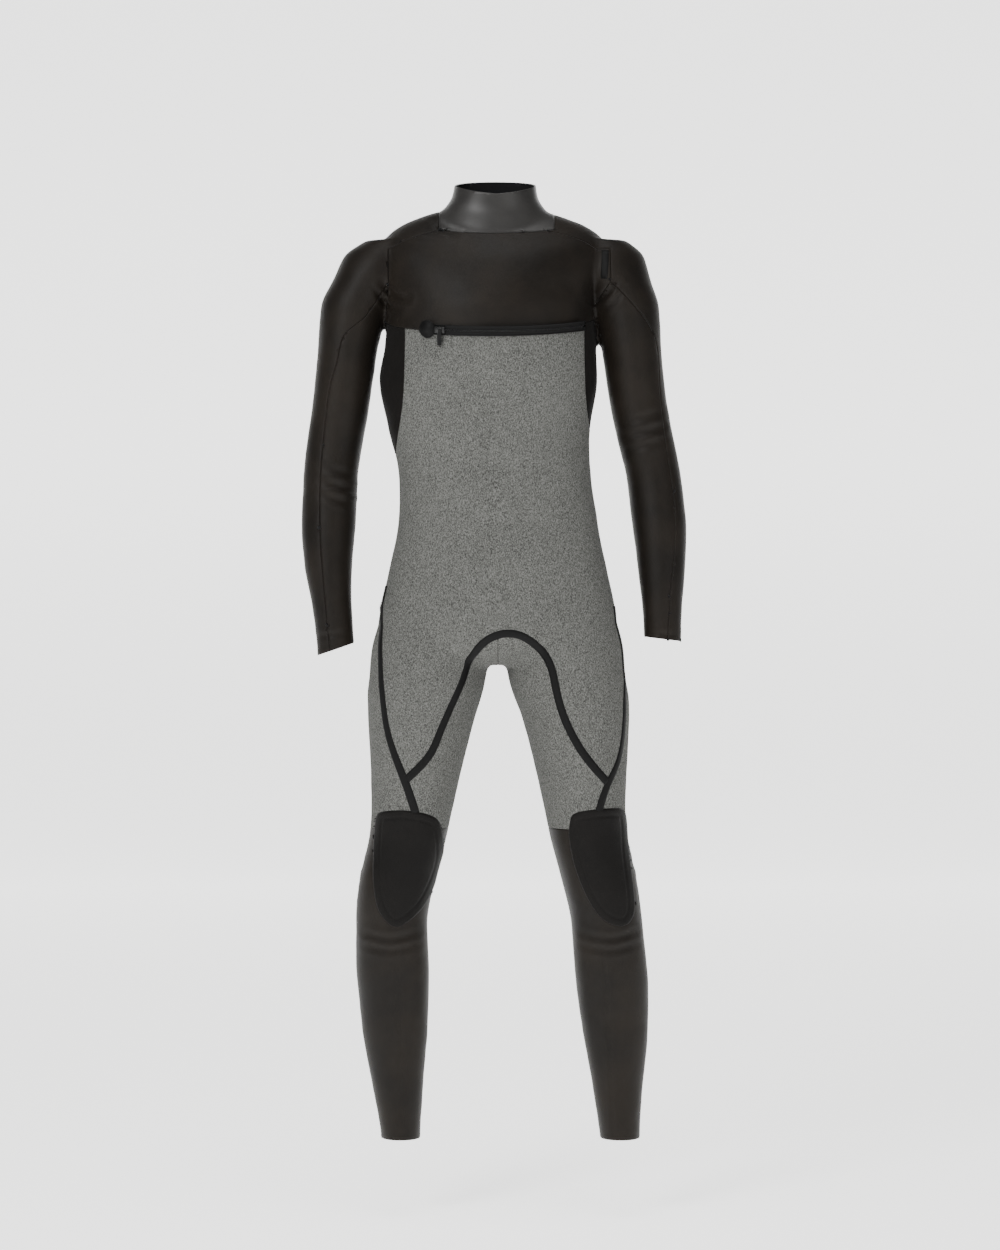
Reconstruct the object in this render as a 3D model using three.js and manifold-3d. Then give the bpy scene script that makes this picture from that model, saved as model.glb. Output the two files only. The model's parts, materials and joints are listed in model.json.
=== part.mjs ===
// A full-length wetsuit with a chest zip, standing in the shape of the body that it fits.
// Millimetres. +Z is up, +X is the wearer's left and -Y is the wearer's front.
// The origin is the middle of the wearer's shoulder line.
import * as THREE from "three";
import { LoftGeometry } from "three/addons/geometries/LoftGeometry.js";
import { mergeVertices } from "three/addons/utils/BufferGeometryUtils.js";
import Module from "manifold-3d";

// ---- driving dimensions ----

// Heights of the body's landmarks below the shoulder line.
const armpitDrop = 112;
const waistDrop = 350;
const crotchDrop = 663;
const kneeDrop = 985;
const ankleDrop = 1402;
const elbowDrop = 345;
const wristDrop = 632;

// How many sides each loft has.
const trunkSides = 24;
const neckSides = 16;
const armSides = 12;
const legSides = 14;

// Sheet thickness, and the slit between two sewn panels.
const torsoThickness = 3;
const seamGap = 0.5;

// Neck. The collar seam lies in a plane through the nape that slopes down to the throat.
const napeBack = 72;
const napeHeight = 58;
const throatFront = 62;
const throatHeight = 6;
const collarFrontHeight = 72;
const collarSlope = THREE.MathUtils.degToRad(13);

// Chest flap, measured from the body's middle plane.
const flapLeft = 176;
const flapRight = -168;
const flapBack = -10;
const flapNeckHalf = 45;
const flapTopRadius = 134;
const edgeStripWidth = 15;
const collarHalf = 130;

// Chest, where the zip crosses it.
const chestFront = 118;
const chestHalf = 162;
const chestPower = 2.05;

// Zip: a circular arc in a plane that tilts down to the front.
const zipDrop = 124;
const zipTilt = THREE.MathUtils.degToRad(13);
const zipFlatness = 0.9105;
const zipRadius = (zipFlatness * chestHalf ** 2) / chestFront;
const zipCentreX = -10;
const zipStart = -98.96 / zipRadius;
const zipEnd = 162.58 / zipRadius;
const zipOpening = 6;
const tapeHeight = 5;
const tapeThickness = 1.2;
const tapeStart = 2.2;
const toothPitch = 8;
const toothHeight = 1.7;
const toothDepth = 1.6;
const chainGap = 0.4;
const zipClearance = 0.4;
const zipStandOff = 4.2;
const patchRadius = 14;
const sliderLength = 14;
const sliderHeight = 9;
const sliderThickness = 2.2;
const pullLength = 24;
const pullWidth = 7;
const pullThickness = 1.6;

// Panels of the trunk.
const armholeDrop = 69;
const sideSeamBack = 30;
const seatLegDepth = 24;
const legMiddle = 2;
const tapeWidth = 14;
const stripDrop = 66;
const sidePanelRise = 14;
const sidePanelTail = 40;
const bibHalfHeight = 62;
const bibBelowZip = 27;
const bibFront = 36;
const bibThickness = 1.2;
const liningClearance = 0.6;
const surfaceClearance = 0.35;
const surfaceTapeThickness = 1.1;

// Limbs.
const elbowHalf = 62;
const kneeHalf = 82;
const cuffHeight = 42;
const ankleCuffHeight = 38;
const padThickness = 1.6;
const padHalf = 44;
const padAbove = 12;
const padBelow = 8;
const padLean = 6;
const padWaist = 0.94;
const padFoot = 0.86;
const tapeAbovePad = 3.6;

// ---- colours ----

const blackJersey = { color: 0x2a2724, roughness: 0.85, metalness: 0 };
const greyHeather = { color: 0x6b6d69, roughness: 0.9, metalness: 0 };
const meshSkin = { color: 0x241f1b, roughness: 0.55, metalness: 0 };
const smoothSkin = { color: 0x2f2f2f, roughness: 0.4, metalness: 0 };
const tapeBlack = { color: 0x121212, roughness: 0.6, metalness: 0 };
const mouldedBlack = { color: 0x0c0c0c, roughness: 0.35, metalness: 0 };

// ---- solids ----

const wasm = await Module();
wasm.setup();

/** A closed geometry as a manifold solid. */
function solid(geometry) {
  const bare = new THREE.BufferGeometry();
  bare.setAttribute("position", geometry.getAttribute("position")).setIndex(geometry.index);
  const merged = mergeVertices(bare, 1e-4);
  return new wasm.Manifold(
    new wasm.Mesh({
      numProp: 3,
      vertProperties: merged.attributes.position.array,
      triVerts: new Uint32Array(merged.index.array),
    }),
  );
}

/** A manifold solid as a geometry. */
function geometryOf(made) {
  const mesh = made.getMesh();
  const geometry = new THREE.BufferGeometry();
  geometry.setAttribute("position", new THREE.BufferAttribute(mesh.vertProperties, 3));
  geometry.setIndex(new THREE.BufferAttribute(mesh.triVerts, 1));
  geometry.computeVertexNormals();
  return geometry;
}

/** An axis-aligned block between two corners. */
function block(x0, x1, y0, y1, z0, z1) {
  const box = new THREE.BoxGeometry(x1 - x0, y1 - y0, z1 - z0);
  return solid(box.translate((x0 + x1) / 2, (y0 + y1) / 2, (z0 + z1) / 2));
}

const far = 2500;

/** Everything on the normal's side of a plane through a point. */
function halfSpace(point, normal) {
  const box = new THREE.BoxGeometry(2 * far, 2 * far, 2 * far).translate(0, 0, far);
  const turn = new THREE.Quaternion().setFromUnitVectors(
    new THREE.Vector3(0, 0, 1),
    normal.clone().normalize(),
  );
  return solid(box.applyQuaternion(turn).translate(point.x, point.y, point.z));
}

/** An outline of [x, z] points moved inwards by a distance. */
function inset(outline, distance) {
  const points = outline.map(([x, z]) => new THREE.Vector2(x, z));
  const turn = THREE.ShapeUtils.area(points) > 0 ? 1 : -1;
  return points.map((p, i) => {
    const before = points.at(i - 1);
    const after = points[(i + 1) % points.length];
    const a = p.clone().sub(before).normalize();
    const b = after.clone().sub(p).normalize();
    const normal = new THREE.Vector2(-(a.y + b.y), a.x + b.x).normalize();
    const spread = Math.max(0.4, normal.dot(new THREE.Vector2(-b.y, b.x)));
    return p.clone().add(normal.multiplyScalar((turn * distance) / spread));
  });
}

/** A front-view outline extruded from y0 to y1, drawn in by half a seam. */
function prism(outline, y0, y1, drawIn = seamGap / 2) {
  const shape = new THREE.Shape(inset(outline, drawIn));
  const cut = new THREE.ExtrudeGeometry(shape, { depth: y1 - y0, bevelEnabled: false });
  return solid(cut.rotateX(Math.PI / 2).translate(0, y1, 0));
}

/** Points of a smooth line through a few [x, z] points. */
function smooth(points, steps) {
  const curve = new THREE.SplineCurve(points.map(([x, z]) => new THREE.Vector2(x, z)));
  return curve.getPoints(steps).map((p) => [p.x, p.y]);
}

// ---- the body's form ----

/** Height at a place given in landmarks: 0 shoulder, 1 armpit, 2 waist, 3 crotch, 4 knee, 5 ankle. */
function bodyHeight(at) {
  const drops = [0, armpitDrop, waistDrop, crotchDrop, kneeDrop, ankleDrop];
  const i = Math.min(Math.max(Math.floor(at), 0), drops.length - 2);
  return -THREE.MathUtils.lerp(drops[i], drops[i + 1], at - i);
}

/** Height at a place along the arm: 0 shoulder, 1 elbow, 2 wrist. */
function armHeight(at) {
  const drops = [0, elbowDrop, wristDrop];
  const i = at < 1 ? 0 : 1;
  return -THREE.MathUtils.lerp(drops[i], drops[i + 1], at - i);
}

/** One ring of a loft, clockwise from above, rounder or squarer by its power. */
function ringPoints({ x, y, z, wide, front, back, power = 2.2 }, count) {
  return Array.from({ length: count }, (_, i) => {
    const angle = (2 * Math.PI * i) / count;
    const across = Math.sign(Math.cos(angle)) * Math.abs(Math.cos(angle)) ** (2 / power);
    const deep = -Math.sign(Math.sin(angle)) * Math.abs(Math.sin(angle)) ** (2 / power);
    return new THREE.Vector3(x + wide * across, y + (deep < 0 ? front : back) * deep, z);
  });
}

/** A loft through rings, its surface moved inwards along its own normals by a distance. */
function form(rings, count, inwards, { openStart = false, openEnd = false } = {}) {
  const grid = rings.map((ring) => ringPoints(ring, count));
  const last = grid.length - 1;
  const moved = grid.map((points, j) =>
    points.map((p, i) => {
      const around = points[(i + 1) % count].clone().sub(points.at(i - 1));
      const along = grid[Math.min(j + 1, last)][i].clone().sub(grid[Math.max(j - 1, 0)][i]);
      const normal = along.cross(around).normalize();
      const outwards = p.clone().sub(new THREE.Vector3(rings[j].x, rings[j].y, p.z));
      if (normal.dot(outwards) < 0) normal.negate();
      return p.clone().addScaledVector(normal, -inwards);
    }),
  );
  const shift = (points, z) => points.map((p) => p.clone().add(new THREE.Vector3(0, 0, z)));
  const passing = 20;
  if (inwards > 0) {
    if (openStart) moved.unshift(shift(moved[0], passing));
    else moved[0] = shift(moved[0], -inwards);
    if (openEnd) moved.push(shift(moved.at(-1), -passing));
    else moved[last] = shift(moved[last], inwards);
  }
  return solid(new LoftGeometry(moved, { closed: true, capStart: true, capEnd: true }));
}

// Where the zip crosses the front of the chest, as a place on the body: the full chest goes with it.
const zipCrossing = zipDrop + chestFront * Math.tan(zipTilt);
const zipPlace = 1 + (zipCrossing - armpitDrop) / (waistDrop - armpitDrop);

// Rings of the trunk: place, middle, half width and depths before and behind the middle.
const trunkRings = [
  { at: -0.4, x: -7, wide: 72, front: 44, back: 48, y: 14 },
  { at: -0.31, x: -7, wide: 112, front: 54, back: 58, y: 14 },
  { at: -0.2, x: -6, wide: 138, front: 62, back: 68, y: 12 },
  { at: -0.07, x: -5, wide: 166, front: 72, back: 80, y: 10 },
  { at: 0.12, x: -6, wide: 178, front: 86, back: 94, y: 6 },
  { at: 0.4, x: -8, wide: 172, front: 0.85 * chestFront, back: 104, y: 2 },
  { at: 0.75, x: -10, wide: 164, front: 0.95 * chestFront, back: 109, y: 0, power: chestPower },
  { at: zipPlace - 0.165, x: -10, wide: 161, front: chestFront, back: 111, y: 0, power: chestPower },
  { at: zipPlace + 0.035, x: -10, wide: 164, front: chestFront, back: 111, y: 0, power: chestPower },
  { at: zipPlace + 0.285, x: -13, wide: 170, front: 0.975 * chestFront, back: 108, y: 0 },
  { at: 1.75, x: -12, wide: 158, front: 106, back: 99, y: 0 },
  { at: 2.05, x: -3, wide: 150, front: 100, back: 94, y: 0 },
  { at: 2.3, x: 2, wide: 156, front: 101, back: 99, y: 0 },
  { at: 2.55, x: 2, wide: 172, front: 105, back: 112, y: 0 },
  { at: 2.8, x: 1, wide: 186, front: 104, back: 120, y: 0 },
  { at: 2.93, x: 0, wide: 178, front: 92, back: 108, y: 2 },
  { at: 3.0, x: -2, wide: 110, front: 54, back: 66, y: 4 },
];
const neckRings = [
  { at: 0.1, wide: 96, front: 76, back: 70, y: 6, x: -6 },
  { at: -0.16, wide: 90, front: 68, back: 66, y: 6, x: -6 },
  { at: -0.38, wide: 76, front: 62, back: 62, y: 4, x: -5 },
  { at: -0.6, wide: 65, front: 60, back: 59, y: 0, x: -4 },
  { at: -1.0, wide: 62, front: 60, back: 58, y: -3, x: -2 },
];
// Rings of one arm, shared by both: half width, and depths before and behind its middle.
const armGirths = [
  { at: 0.0, wide: 46, front: 38, back: 42 },
  { at: 0.07, wide: 57, front: 50, back: 54 },
  { at: 0.17, wide: 56, front: 56, back: 58 },
  { at: 0.27, wide: 53, front: 56, back: 57 },
  { at: 0.38, wide: 47, front: 55, back: 54 },
  { at: 0.55, wide: 46, front: 53, back: 50 },
  { at: 0.75, wide: 45, front: 49, back: 46 },
  { at: 0.92, wide: 44, front: 44, back: 44 },
  { at: 1.08, wide: 43, front: 44, back: 44 },
  { at: 1.3, wide: 43, front: 44, back: 42 },
  { at: 1.55, wide: 38, front: 39, back: 36 },
  { at: 1.8, wide: 31, front: 32, back: 29 },
  { at: 2.0, wide: 29, front: 29, back: 26 },
];
const legGirths = [
  { at: 2.75, wide: 80, front: 80, back: 88 },
  { at: 2.95, wide: 92, front: 92, back: 104 },
  { at: 3.1, wide: 91, front: 95, back: 100 },
  { at: 3.25, wide: 84, front: 92, back: 92 },
  { at: 3.53, wide: 70, front: 84, back: 80 },
  { at: 3.8, wide: 61, front: 72, back: 66 },
  { at: 4.03, wide: 59, front: 66, back: 58 },
  { at: 4.2, wide: 56, front: 58, back: 62 },
  { at: 4.37, wide: 57, front: 54, back: 66 },
  { at: 4.58, wide: 52, front: 46, back: 60 },
  { at: 4.82, wide: 39, front: 38, back: 44 },
  { at: 5.0, wide: 31, front: 36, back: 38 },
];
// How each limb's middle runs: [place, sideways] points from top to bottom.
const armLines = {
  left: [[0, 158], [0.07, 173], [0.17, 184], [0.3, 201], [0.75, 222], [1.1, 246], [1.5, 256], [2, 258]],
  right: [[0, -160], [0.07, -182], [0.17, -199], [0.3, -222], [0.75, -244], [1.1, -260], [1.5, -263],
    [2, -251]],
};
const legLines = {
  left: [[2.75, 104], [3, 107], [3.25, 123], [3.8, 142], [4.2, 172], [4.6, 185], [5, 194]],
  right: [[2.75, -100], [3, -106], [3.25, -117], [3.8, -137], [4.2, -164], [4.6, -159], [5, -149]],
};
// How far each limb's middle lies behind the body's middle plane, top, mid and bottom.
const armDepths = [[0, 8], [1, 8], [2, -18]];
const legDepths = [[2.75, 0], [4, 0], [4.5, 10], [5, 16]];

/** The value at a place on a line of [place, value] points, smooth between them. */
function along(line, at) {
  const next = Math.max(1, line.findIndex(([place]) => place >= at - 1e-9));
  const i = next < 1 ? line.length - 1 : next;
  const [a, va] = line[i - 1];
  const [b, vb] = line[i];
  return THREE.MathUtils.lerp(va, vb, THREE.MathUtils.clamp((at - a) / (b - a), 0, 1));
}

const armRings = (side) =>
  armGirths.map((girth) => ({
    ...girth,
    x: along(armLines[side], girth.at),
    y: along(armDepths, girth.at),
    z: armHeight(girth.at),
    power: 2,
  }));
const legRings = (side) =>
  legGirths.map((girth) => ({
    ...girth,
    x: along(legLines[side], girth.at),
    y: along(legDepths, girth.at),
    z: bodyHeight(girth.at),
    power: 2,
  }));
const atHeight = (ring) => ({ ...ring, z: bodyHeight(ring.at) });

/** The whole body's surface, moved inwards by a distance. */
function bodyForm(inwards) {
  const trunk = form(trunkRings.map(atHeight), trunkSides, inwards);
  const neck = form(neckRings.map(atHeight).reverse(), neckSides, inwards, { openStart: true });
  let whole = trunk.add(neck);
  for (const side of ["left", "right"]) {
    whole = whole.add(form(armRings(side), armSides, inwards, { openEnd: true }));
    whole = whole.add(form(legRings(side), legSides, inwards, { openEnd: true }));
  }
  return whole;
}

/** The trunk's edge at a height: its farthest point on the left (1) or the right (-1). */
function trunkEdge(z, sign) {
  const line = trunkRings.map((ring) => [-bodyHeight(ring.at), ring.x + sign * ring.wide]);
  return along(line, -z);
}

/** A point across an arm, at a place along it: -1 is its inner edge and 1 its outer edge. */
function armPoint(side, at, across) {
  const wide = along(armGirths.map((girth) => [girth.at, girth.wide]), at);
  const sign = side === "left" ? 1 : -1;
  return [along(armLines[side], at) + sign * across * wide, armHeight(at)];
}

// ---- outlines in front view ----

const top = 200;
const wide = 600;
const elbowTop = -(elbowDrop - elbowHalf);
const kneeTop = -(kneeDrop - kneeHalf);
const kneeBottom = -(kneeDrop + kneeHalf);
const flapEdges = { left: flapLeft, right: flapRight };
const signs = { left: 1, right: -1 };

/** The line that runs down between the trunk and an arm. */
function armpitLine(side) {
  const sign = signs[side];
  return [0.31, 0.38, 0.5, 0.65, 0.9].map((at) => {
    const [inner, z] = armPoint(side, at, -1);
    return [(inner + trunkEdge(z, sign)) / 2, z];
  });
}

// Where the sleeve seam crosses each arm: [place, across], from the armpit to the elbow.
const sleeveSeams = {
  left: [[0.28, 0.11], [0.39, 0.62], [0.5, 0.84], [0.72, 0.75], [1, 0.64]],
  right: [[0.35, -0.45], [0.44, 0.15], [0.56, 0.28], [0.7, 0.45], [1, 0.4]],
};

/** The outline of a whole arm, outside the armhole. */
function armOutline(side) {
  const sign = signs[side];
  const hip = [sign * 0.5 * (wide + flapLeft), -wristDrop - 80];
  const below = [armPoint(side, 2, -1)[0] - sign * 12, -wristDrop - 80];
  return [
    [flapEdges[side], top],
    [flapEdges[side], -armholeDrop],
    ...armpitLine(side),
    below,
    hip,
    [sign * wide, -wristDrop - 80],
    [sign * wide, top],
  ];
}

/** The outline of the inner and front part of the upper sleeve. */
function sleeveOutline(side) {
  const seam = sleeveSeams[side].map(([at, across]) => armPoint(side, at, across));
  const start = [flapEdges[side], -armholeDrop];
  const line = smooth([start, ...seam], 10);
  return [...line, armPoint(side, 1, -1.6), ...armpitLine(side).reverse()];
}

// The chest's front panel: [height place, half width] down its edges to the waist.
const frontEdge = [[0.9, 138], [1.3, 139], [1.6, 142], [1.85, 152], [2.1, 164], [2.45, 188]];
const frontMiddle = -3;
// The thigh tapes and the arch over the crotch: [height place, sideways] from the top down.
const thighLines = {
  left: [[2.7, 196], [3.05, 198], [3.28, 197], [3.45, 189], [3.58, 169], [3.7, 157], [3.8, 148]],
  right: [[2.7, -186], [3.05, -181], [3.28, -171], [3.42, -158], [3.56, -140], [3.7, -125], [3.8, -116]],
};
const archTop = [2.84, 18];
const archLines = {
  left: [[2.87, 48], [2.94, 72], [3.01, 84], [3.13, 92], [3.23, 101], [3.34, 117], [3.45, 140]],
  right: [[2.89, -20], [2.96, -39], [3.08, -53], [3.19, -69], [3.31, -86], [3.43, -103]],
};
const tapeMeeting = { left: [3.56, 171], right: [3.55, -141] };
const placed = (line) => line.map(([at, x]) => [x, bodyHeight(at)]);

const archPoints = (side, steps) =>
  smooth(placed([archTop, ...archLines[side], tapeMeeting[side]]), steps);
const thighPoints = (side, from = 0) =>
  placed(thighLines[side].filter(([at]) => at > from));

/** The whole front panel, down to the points between the arch and the thigh tapes. */
function frontOutline() {
  const half = (side) => {
    const edge = frontEdge.map(([at, x]) => [frontMiddle + signs[side] * x, bodyHeight(at)]);
    const thigh = thighPoints(side).filter(([, z]) => z > bodyHeight(tapeMeeting[side][0]));
    return [...edge, ...thigh, ...archPoints(side, 12).reverse()];
  };
  return [...half("left"), ...half("right").reverse().slice(1)];
}

/** Both inner thighs and the crotch, under the arch. */
function archOutline() {
  const half = (side) => {
    const meeting = tapeMeeting[side][0];
    const last = thighPoints(side).at(-1);
    return [...archPoints(side, 12), ...thighPoints(side, meeting + 0.05), [last[0], kneeTop - 40]];
  };
  return [...half("left"), ...half("right").reverse().slice(0, -1)];
}

/** One outer thigh, outside its tape. */
function outerThighOutline(side) {
  const line = thighPoints(side);
  const foot = line.at(-1);
  const sign = signs[side];
  return [...line, [foot[0], kneeTop - 40], [sign * wide, kneeTop - 40], [sign * wide, line[0][1]]];
}

/** A band of even width along a line of [x, z] points. */
function band(line, width) {
  const points = line.map(([x, z]) => new THREE.Vector2(x, z));
  const sides = [1, -1].map((sign) =>
    points.map((p, i) => {
      const before = points[Math.max(i - 1, 0)];
      const after = points[Math.min(i + 1, points.length - 1)];
      const tangent = after.clone().sub(before).normalize();
      return [p.x - (tangent.y * sign * width) / 2, p.y + (tangent.x * sign * width) / 2];
    }),
  );
  return [...sides[0], ...sides[1].reverse()];
}

// ---- the nodes ----

const root = new THREE.Group();

/** Adds one named mesh to a group: the cut sheet without the slivers that thin cuts leave. */
function add(name, look, made, group = root) {
  const sheet = made.decompose().sort((a, b) => b.volume() - a.volume())[0];
  const mesh = new THREE.Mesh(geometryOf(sheet), new THREE.MeshStandardMaterial(look));
  mesh.name = name;
  group.add(mesh);
}

const half = seamGap / 2;
const outside = bodyForm(0);
const inside = bodyForm(torsoThickness);
const skin = outside.subtract(inside);
const surfaceInner = bodyForm(-surfaceClearance);
const surfaceTape = bodyForm(-surfaceClearance - surfaceTapeThickness).subtract(surfaceInner);

// Planes. The collar plane runs through the nape and the throat.
const nape = new THREE.Vector3(0, napeBack, napeHeight);
const throat = new THREE.Vector3(0, -throatFront, throatHeight);
const collarUp = new THREE.Vector3(0, -(napeHeight - throatHeight), napeBack + throatFront);
const aboveCollarSeam = (gap) =>
  halfSpace(nape.clone().addScaledVector(collarUp.clone().normalize(), gap), collarUp);
const belowCollarSeam = (gap) =>
  halfSpace(nape.clone().addScaledVector(collarUp.clone().normalize(), -gap), collarUp.clone().negate());
const zipUp = new THREE.Vector3(0, -Math.sin(zipTilt), Math.cos(zipTilt));
const zipPoint = new THREE.Vector3(0, 0, -zipDrop);
const aboveZip = (gap) => halfSpace(zipPoint.clone().addScaledVector(zipUp, gap), zipUp);
const belowZip = (gap) =>
  halfSpace(zipPoint.clone().addScaledVector(zipUp, -gap), zipUp.clone().negate());

/** A cylinder about the nape hinge, for the seam that the flap swings past. */
function napeCylinder(radius) {
  const round = new THREE.CylinderGeometry(radius, radius, 2 * wide, 48);
  return solid(round.rotateZ(Math.PI / 2).translate(0, napeBack, napeHeight));
}

// Slabs before and behind the side seam.
const frontSlab = block(-wide, wide, -wide, sideSeamBack - half, -far, top);
const backSlab = block(-wide, wide, sideSeamBack + half, wide, -far, top);
const armZones = {
  left: prism(armOutline("left"), -wide, wide),
  right: prism(armOutline("right"), -wide, wide),
};
const grownArmZones = {
  left: prism(armOutline("left"), -wide, wide, -half),
  right: prism(armOutline("right"), -wide, wide, -half),
};
const trunkSkin = skin.subtract(grownArmZones.left).subtract(grownArmZones.right);

// Collar.
const neckZone = block(-collarHalf, collarHalf, -wide, wide, 0, top);
const collarPoint = new THREE.Vector3(0, -throatFront, collarFrontHeight);
const collarDown = new THREE.Vector3(0, Math.sin(collarSlope), -Math.cos(collarSlope));
const collar = skin.intersect(neckZone).intersect(aboveCollarSeam(half))
  .intersect(halfSpace(collarPoint, collarDown));
add("collar", smoothSkin, collar);

// Chest flap: outside the cylinder that it swings past, and up to the collar at the throat.
const flapBlock = (grow) =>
  block(flapRight - grow, flapLeft + grow, -wide, flapBack + grow, -2 * zipDrop, top);
const flapTongue = (grow) =>
  block(frontMiddle - flapNeckHalf - grow, frontMiddle + flapNeckHalf + grow,
    -wide, flapBack, -zipDrop, top);
const flapZone = (grow) =>
  flapBlock(grow).subtract(napeCylinder(flapTopRadius - grow)).add(flapTongue(grow));
const flap = skin.intersect(flapZone(-half)).intersect(belowCollarSeam(half))
  .intersect(aboveZip(zipOpening / 2))
  .subtract(grownArmZones.left).subtract(grownArmZones.right);
add("chest_flap", meshSkin, flap);
const stripZone = block(flapLeft - edgeStripWidth, flapLeft - 1, -wide, flapBack - 4, -stripDrop, top)
  .subtract(napeCylinder(flapTopRadius + 1));
add("flap_edge_strip", tapeBlack, surfaceTape.intersect(stripZone));

// Shoulders: the yoke over the shoulder line and the cap and back of the upper sleeve.
const sleeveZone = (side, drawIn) => prism(sleeveOutline(side), -wide, wide, drawIn);
const aboveElbow = block(-wide, wide, -wide, wide, elbowTop + half, top);
const yokeLimit = {
  left: [frontMiddle + half, flapLeft - half],
  right: [flapRight + half, frontMiddle - half],
};
for (const side of ["left", "right"]) {
  const [x0, x1] = yokeLimit[side];
  const yoke = block(x0, x1, -wide, sideSeamBack - half, -armholeDrop, top);
  const zone = yoke.add(armZones[side].intersect(aboveElbow));
  const join = block(
    Math.min(flapEdges[side] - 2, flapEdges[side] + 2), Math.max(flapEdges[side] - 2, flapEdges[side] + 2),
    flapBack + half, sideSeamBack - half, -armholeDrop, top,
  );
  const panel = skin.intersect(zone.add(join)).subtract(flapZone(half))
    .intersect(belowCollarSeam(half)).subtract(sleeveZone(side, -half));
  add(side + "_shoulder_panel", meshSkin, panel);
  const sleeve = skin.intersect(armZones[side]).intersect(sleeveZone(side, half)).intersect(aboveElbow);
  add(side + "_upper_sleeve", meshSkin, sleeve);
}

// Trunk panels.
const frontZone = (drawIn) => prism(frontOutline(), -wide, sideSeamBack, drawIn);
const skinBelowWaist = skin.intersect(block(-wide, wide, -wide, wide, -far, -waistDrop));
add("front_panel", greyHeather,
  trunkSkin.add(skinBelowWaist).intersect(frontZone(half)).intersect(frontSlab)
    .intersect(belowZip(zipOpening / 2)));

// Side panels, between the front panel, the armpit and the side seam.
const frontGrown = frontZone(-half);
const sideTop = block(-wide, wide, flapBack + half, wide, -far, sidePanelRise - armpitDrop);
const belowZipFront = belowZip(zipOpening / 2)
  .intersect(block(-wide, wide, -wide, flapBack + half, -far, top));
const sideZone = frontSlab.intersect(sideTop.add(belowZipFront))
  .intersect(block(-wide, wide, -wide, wide, -(waistDrop + sidePanelTail), top));
const sideHalves = {
  left: block(0, wide, -wide, wide, -far, top),
  right: block(-wide, 0, -wide, wide, -far, top),
};
for (const side of ["left", "right"]) {
  add(side + "_side_panel", blackJersey,
    trunkSkin.intersect(sideZone).intersect(sideHalves[side]).subtract(frontGrown));
}

// Back and seat.
const waistUp = block(-wide, wide, -wide, wide, -waistDrop + half, top);
const seatBottom = -(crotchDrop + seatLegDepth);
const waistDown = block(-wide, wide, -wide, wide, seatBottom + half, -waistDrop - half);
add("back_panel", blackJersey,
  trunkSkin.intersect(backSlab).intersect(waistUp).intersect(belowCollarSeam(half)));
const bodySkin = skin.subtract(block(-wide, wide, -wide, wide, -waistDrop, top))
  .subtract(armZones.left).subtract(armZones.right);
add("seat_panel", blackJersey, bodySkin.intersect(backSlab).intersect(waistDown));

// Thighs.
const archZone = prism(archOutline(), -wide, sideSeamBack, half);
const aboveKnee = block(-wide, wide, -wide, wide, kneeTop + half, top);
const legHalves = {
  left: block(legMiddle + half, wide, -wide, wide, -far, 0),
  right: block(-wide, legMiddle - half, -wide, wide, -far, 0),
};
for (const side of ["left", "right"]) {
  const legSkin = bodySkin.intersect(legHalves[side]);
  add(side + "_inner_thigh", greyHeather,
    legSkin.intersect(archZone).intersect(frontSlab).intersect(aboveKnee));
  add(side + "_outer_thigh", greyHeather,
    legSkin.intersect(prism(outerThighOutline(side), -wide, sideSeamBack)).intersect(frontSlab)
      .intersect(aboveKnee));
  add(side + "_back_thigh", greyHeather,
    legSkin.intersect(backSlab)
      .intersect(block(-wide, wide, -wide, wide, kneeTop + half, seatBottom - half)));
}

// Arms below the sleeve, and legs below the thigh.
const slice = (from, to) => block(-wide, wide, -wide, wide, to + half, from - half);
const elbowBottom = -(elbowDrop + elbowHalf);
const wristHeight = -wristDrop;
const ankleHeight = -ankleDrop;
const padTop = kneeTop + padAbove;
const padBottom = kneeBottom - padBelow;
for (const side of ["left", "right"]) {
  const sign = signs[side];
  const armSkin = skin.intersect(armZones[side]);
  const cuffTop = wristHeight + cuffHeight;
  add(side + "_elbow", meshSkin, armSkin.intersect(slice(elbowTop, elbowBottom)));
  add(side + "_forearm", meshSkin, armSkin.intersect(slice(elbowBottom, cuffTop)));
  add(side + "_wrist_cuff", meshSkin, armSkin.intersect(slice(cuffTop, wristHeight)));

  const legSkin = bodySkin.intersect(legHalves[side]);
  const ankleTop = ankleHeight + ankleCuffHeight;
  const shin = legSkin.intersect(slice(kneeBottom, ankleTop));
  add(side + "_knee", meshSkin, legSkin.intersect(slice(kneeTop, kneeBottom)));
  add(side + "_shin", meshSkin, shin.intersect(frontSlab));
  add(side + "_calf", meshSkin, shin.intersect(backSlab));
  add(side + "_ankle_cuff", meshSkin, legSkin.intersect(slice(ankleTop, ankleHeight)));

  const middle = along(legLines[side], 4) - sign * padLean;
  const corner = padTop - padHalf / 2;
  const mid = (padTop + padBottom) / 2;
  const pad = new THREE.Shape();
  pad.moveTo(middle - padHalf, corner);
  pad.quadraticCurveTo(middle - padHalf, padTop, middle, padTop);
  pad.quadraticCurveTo(middle + padHalf, padTop, middle + padHalf, corner);
  pad.lineTo(middle + padHalf * padWaist, mid);
  pad.quadraticCurveTo(middle + padHalf * padFoot, padBottom, middle, padBottom);
  pad.quadraticCurveTo(middle - padHalf * padFoot, padBottom, middle - padHalf * padWaist, mid);
  const cut = new THREE.ExtrudeGeometry(pad, { depth: wide, bevelEnabled: false, curveSegments: 8 });
  const padShell = bodyForm(-surfaceClearance - padThickness).subtract(surfaceInner);
  add(side + "_knee_pad", tapeBlack,
    padShell.intersect(solid(cut.rotateX(Math.PI / 2))).intersect(legHalves[side]));
}

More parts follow.
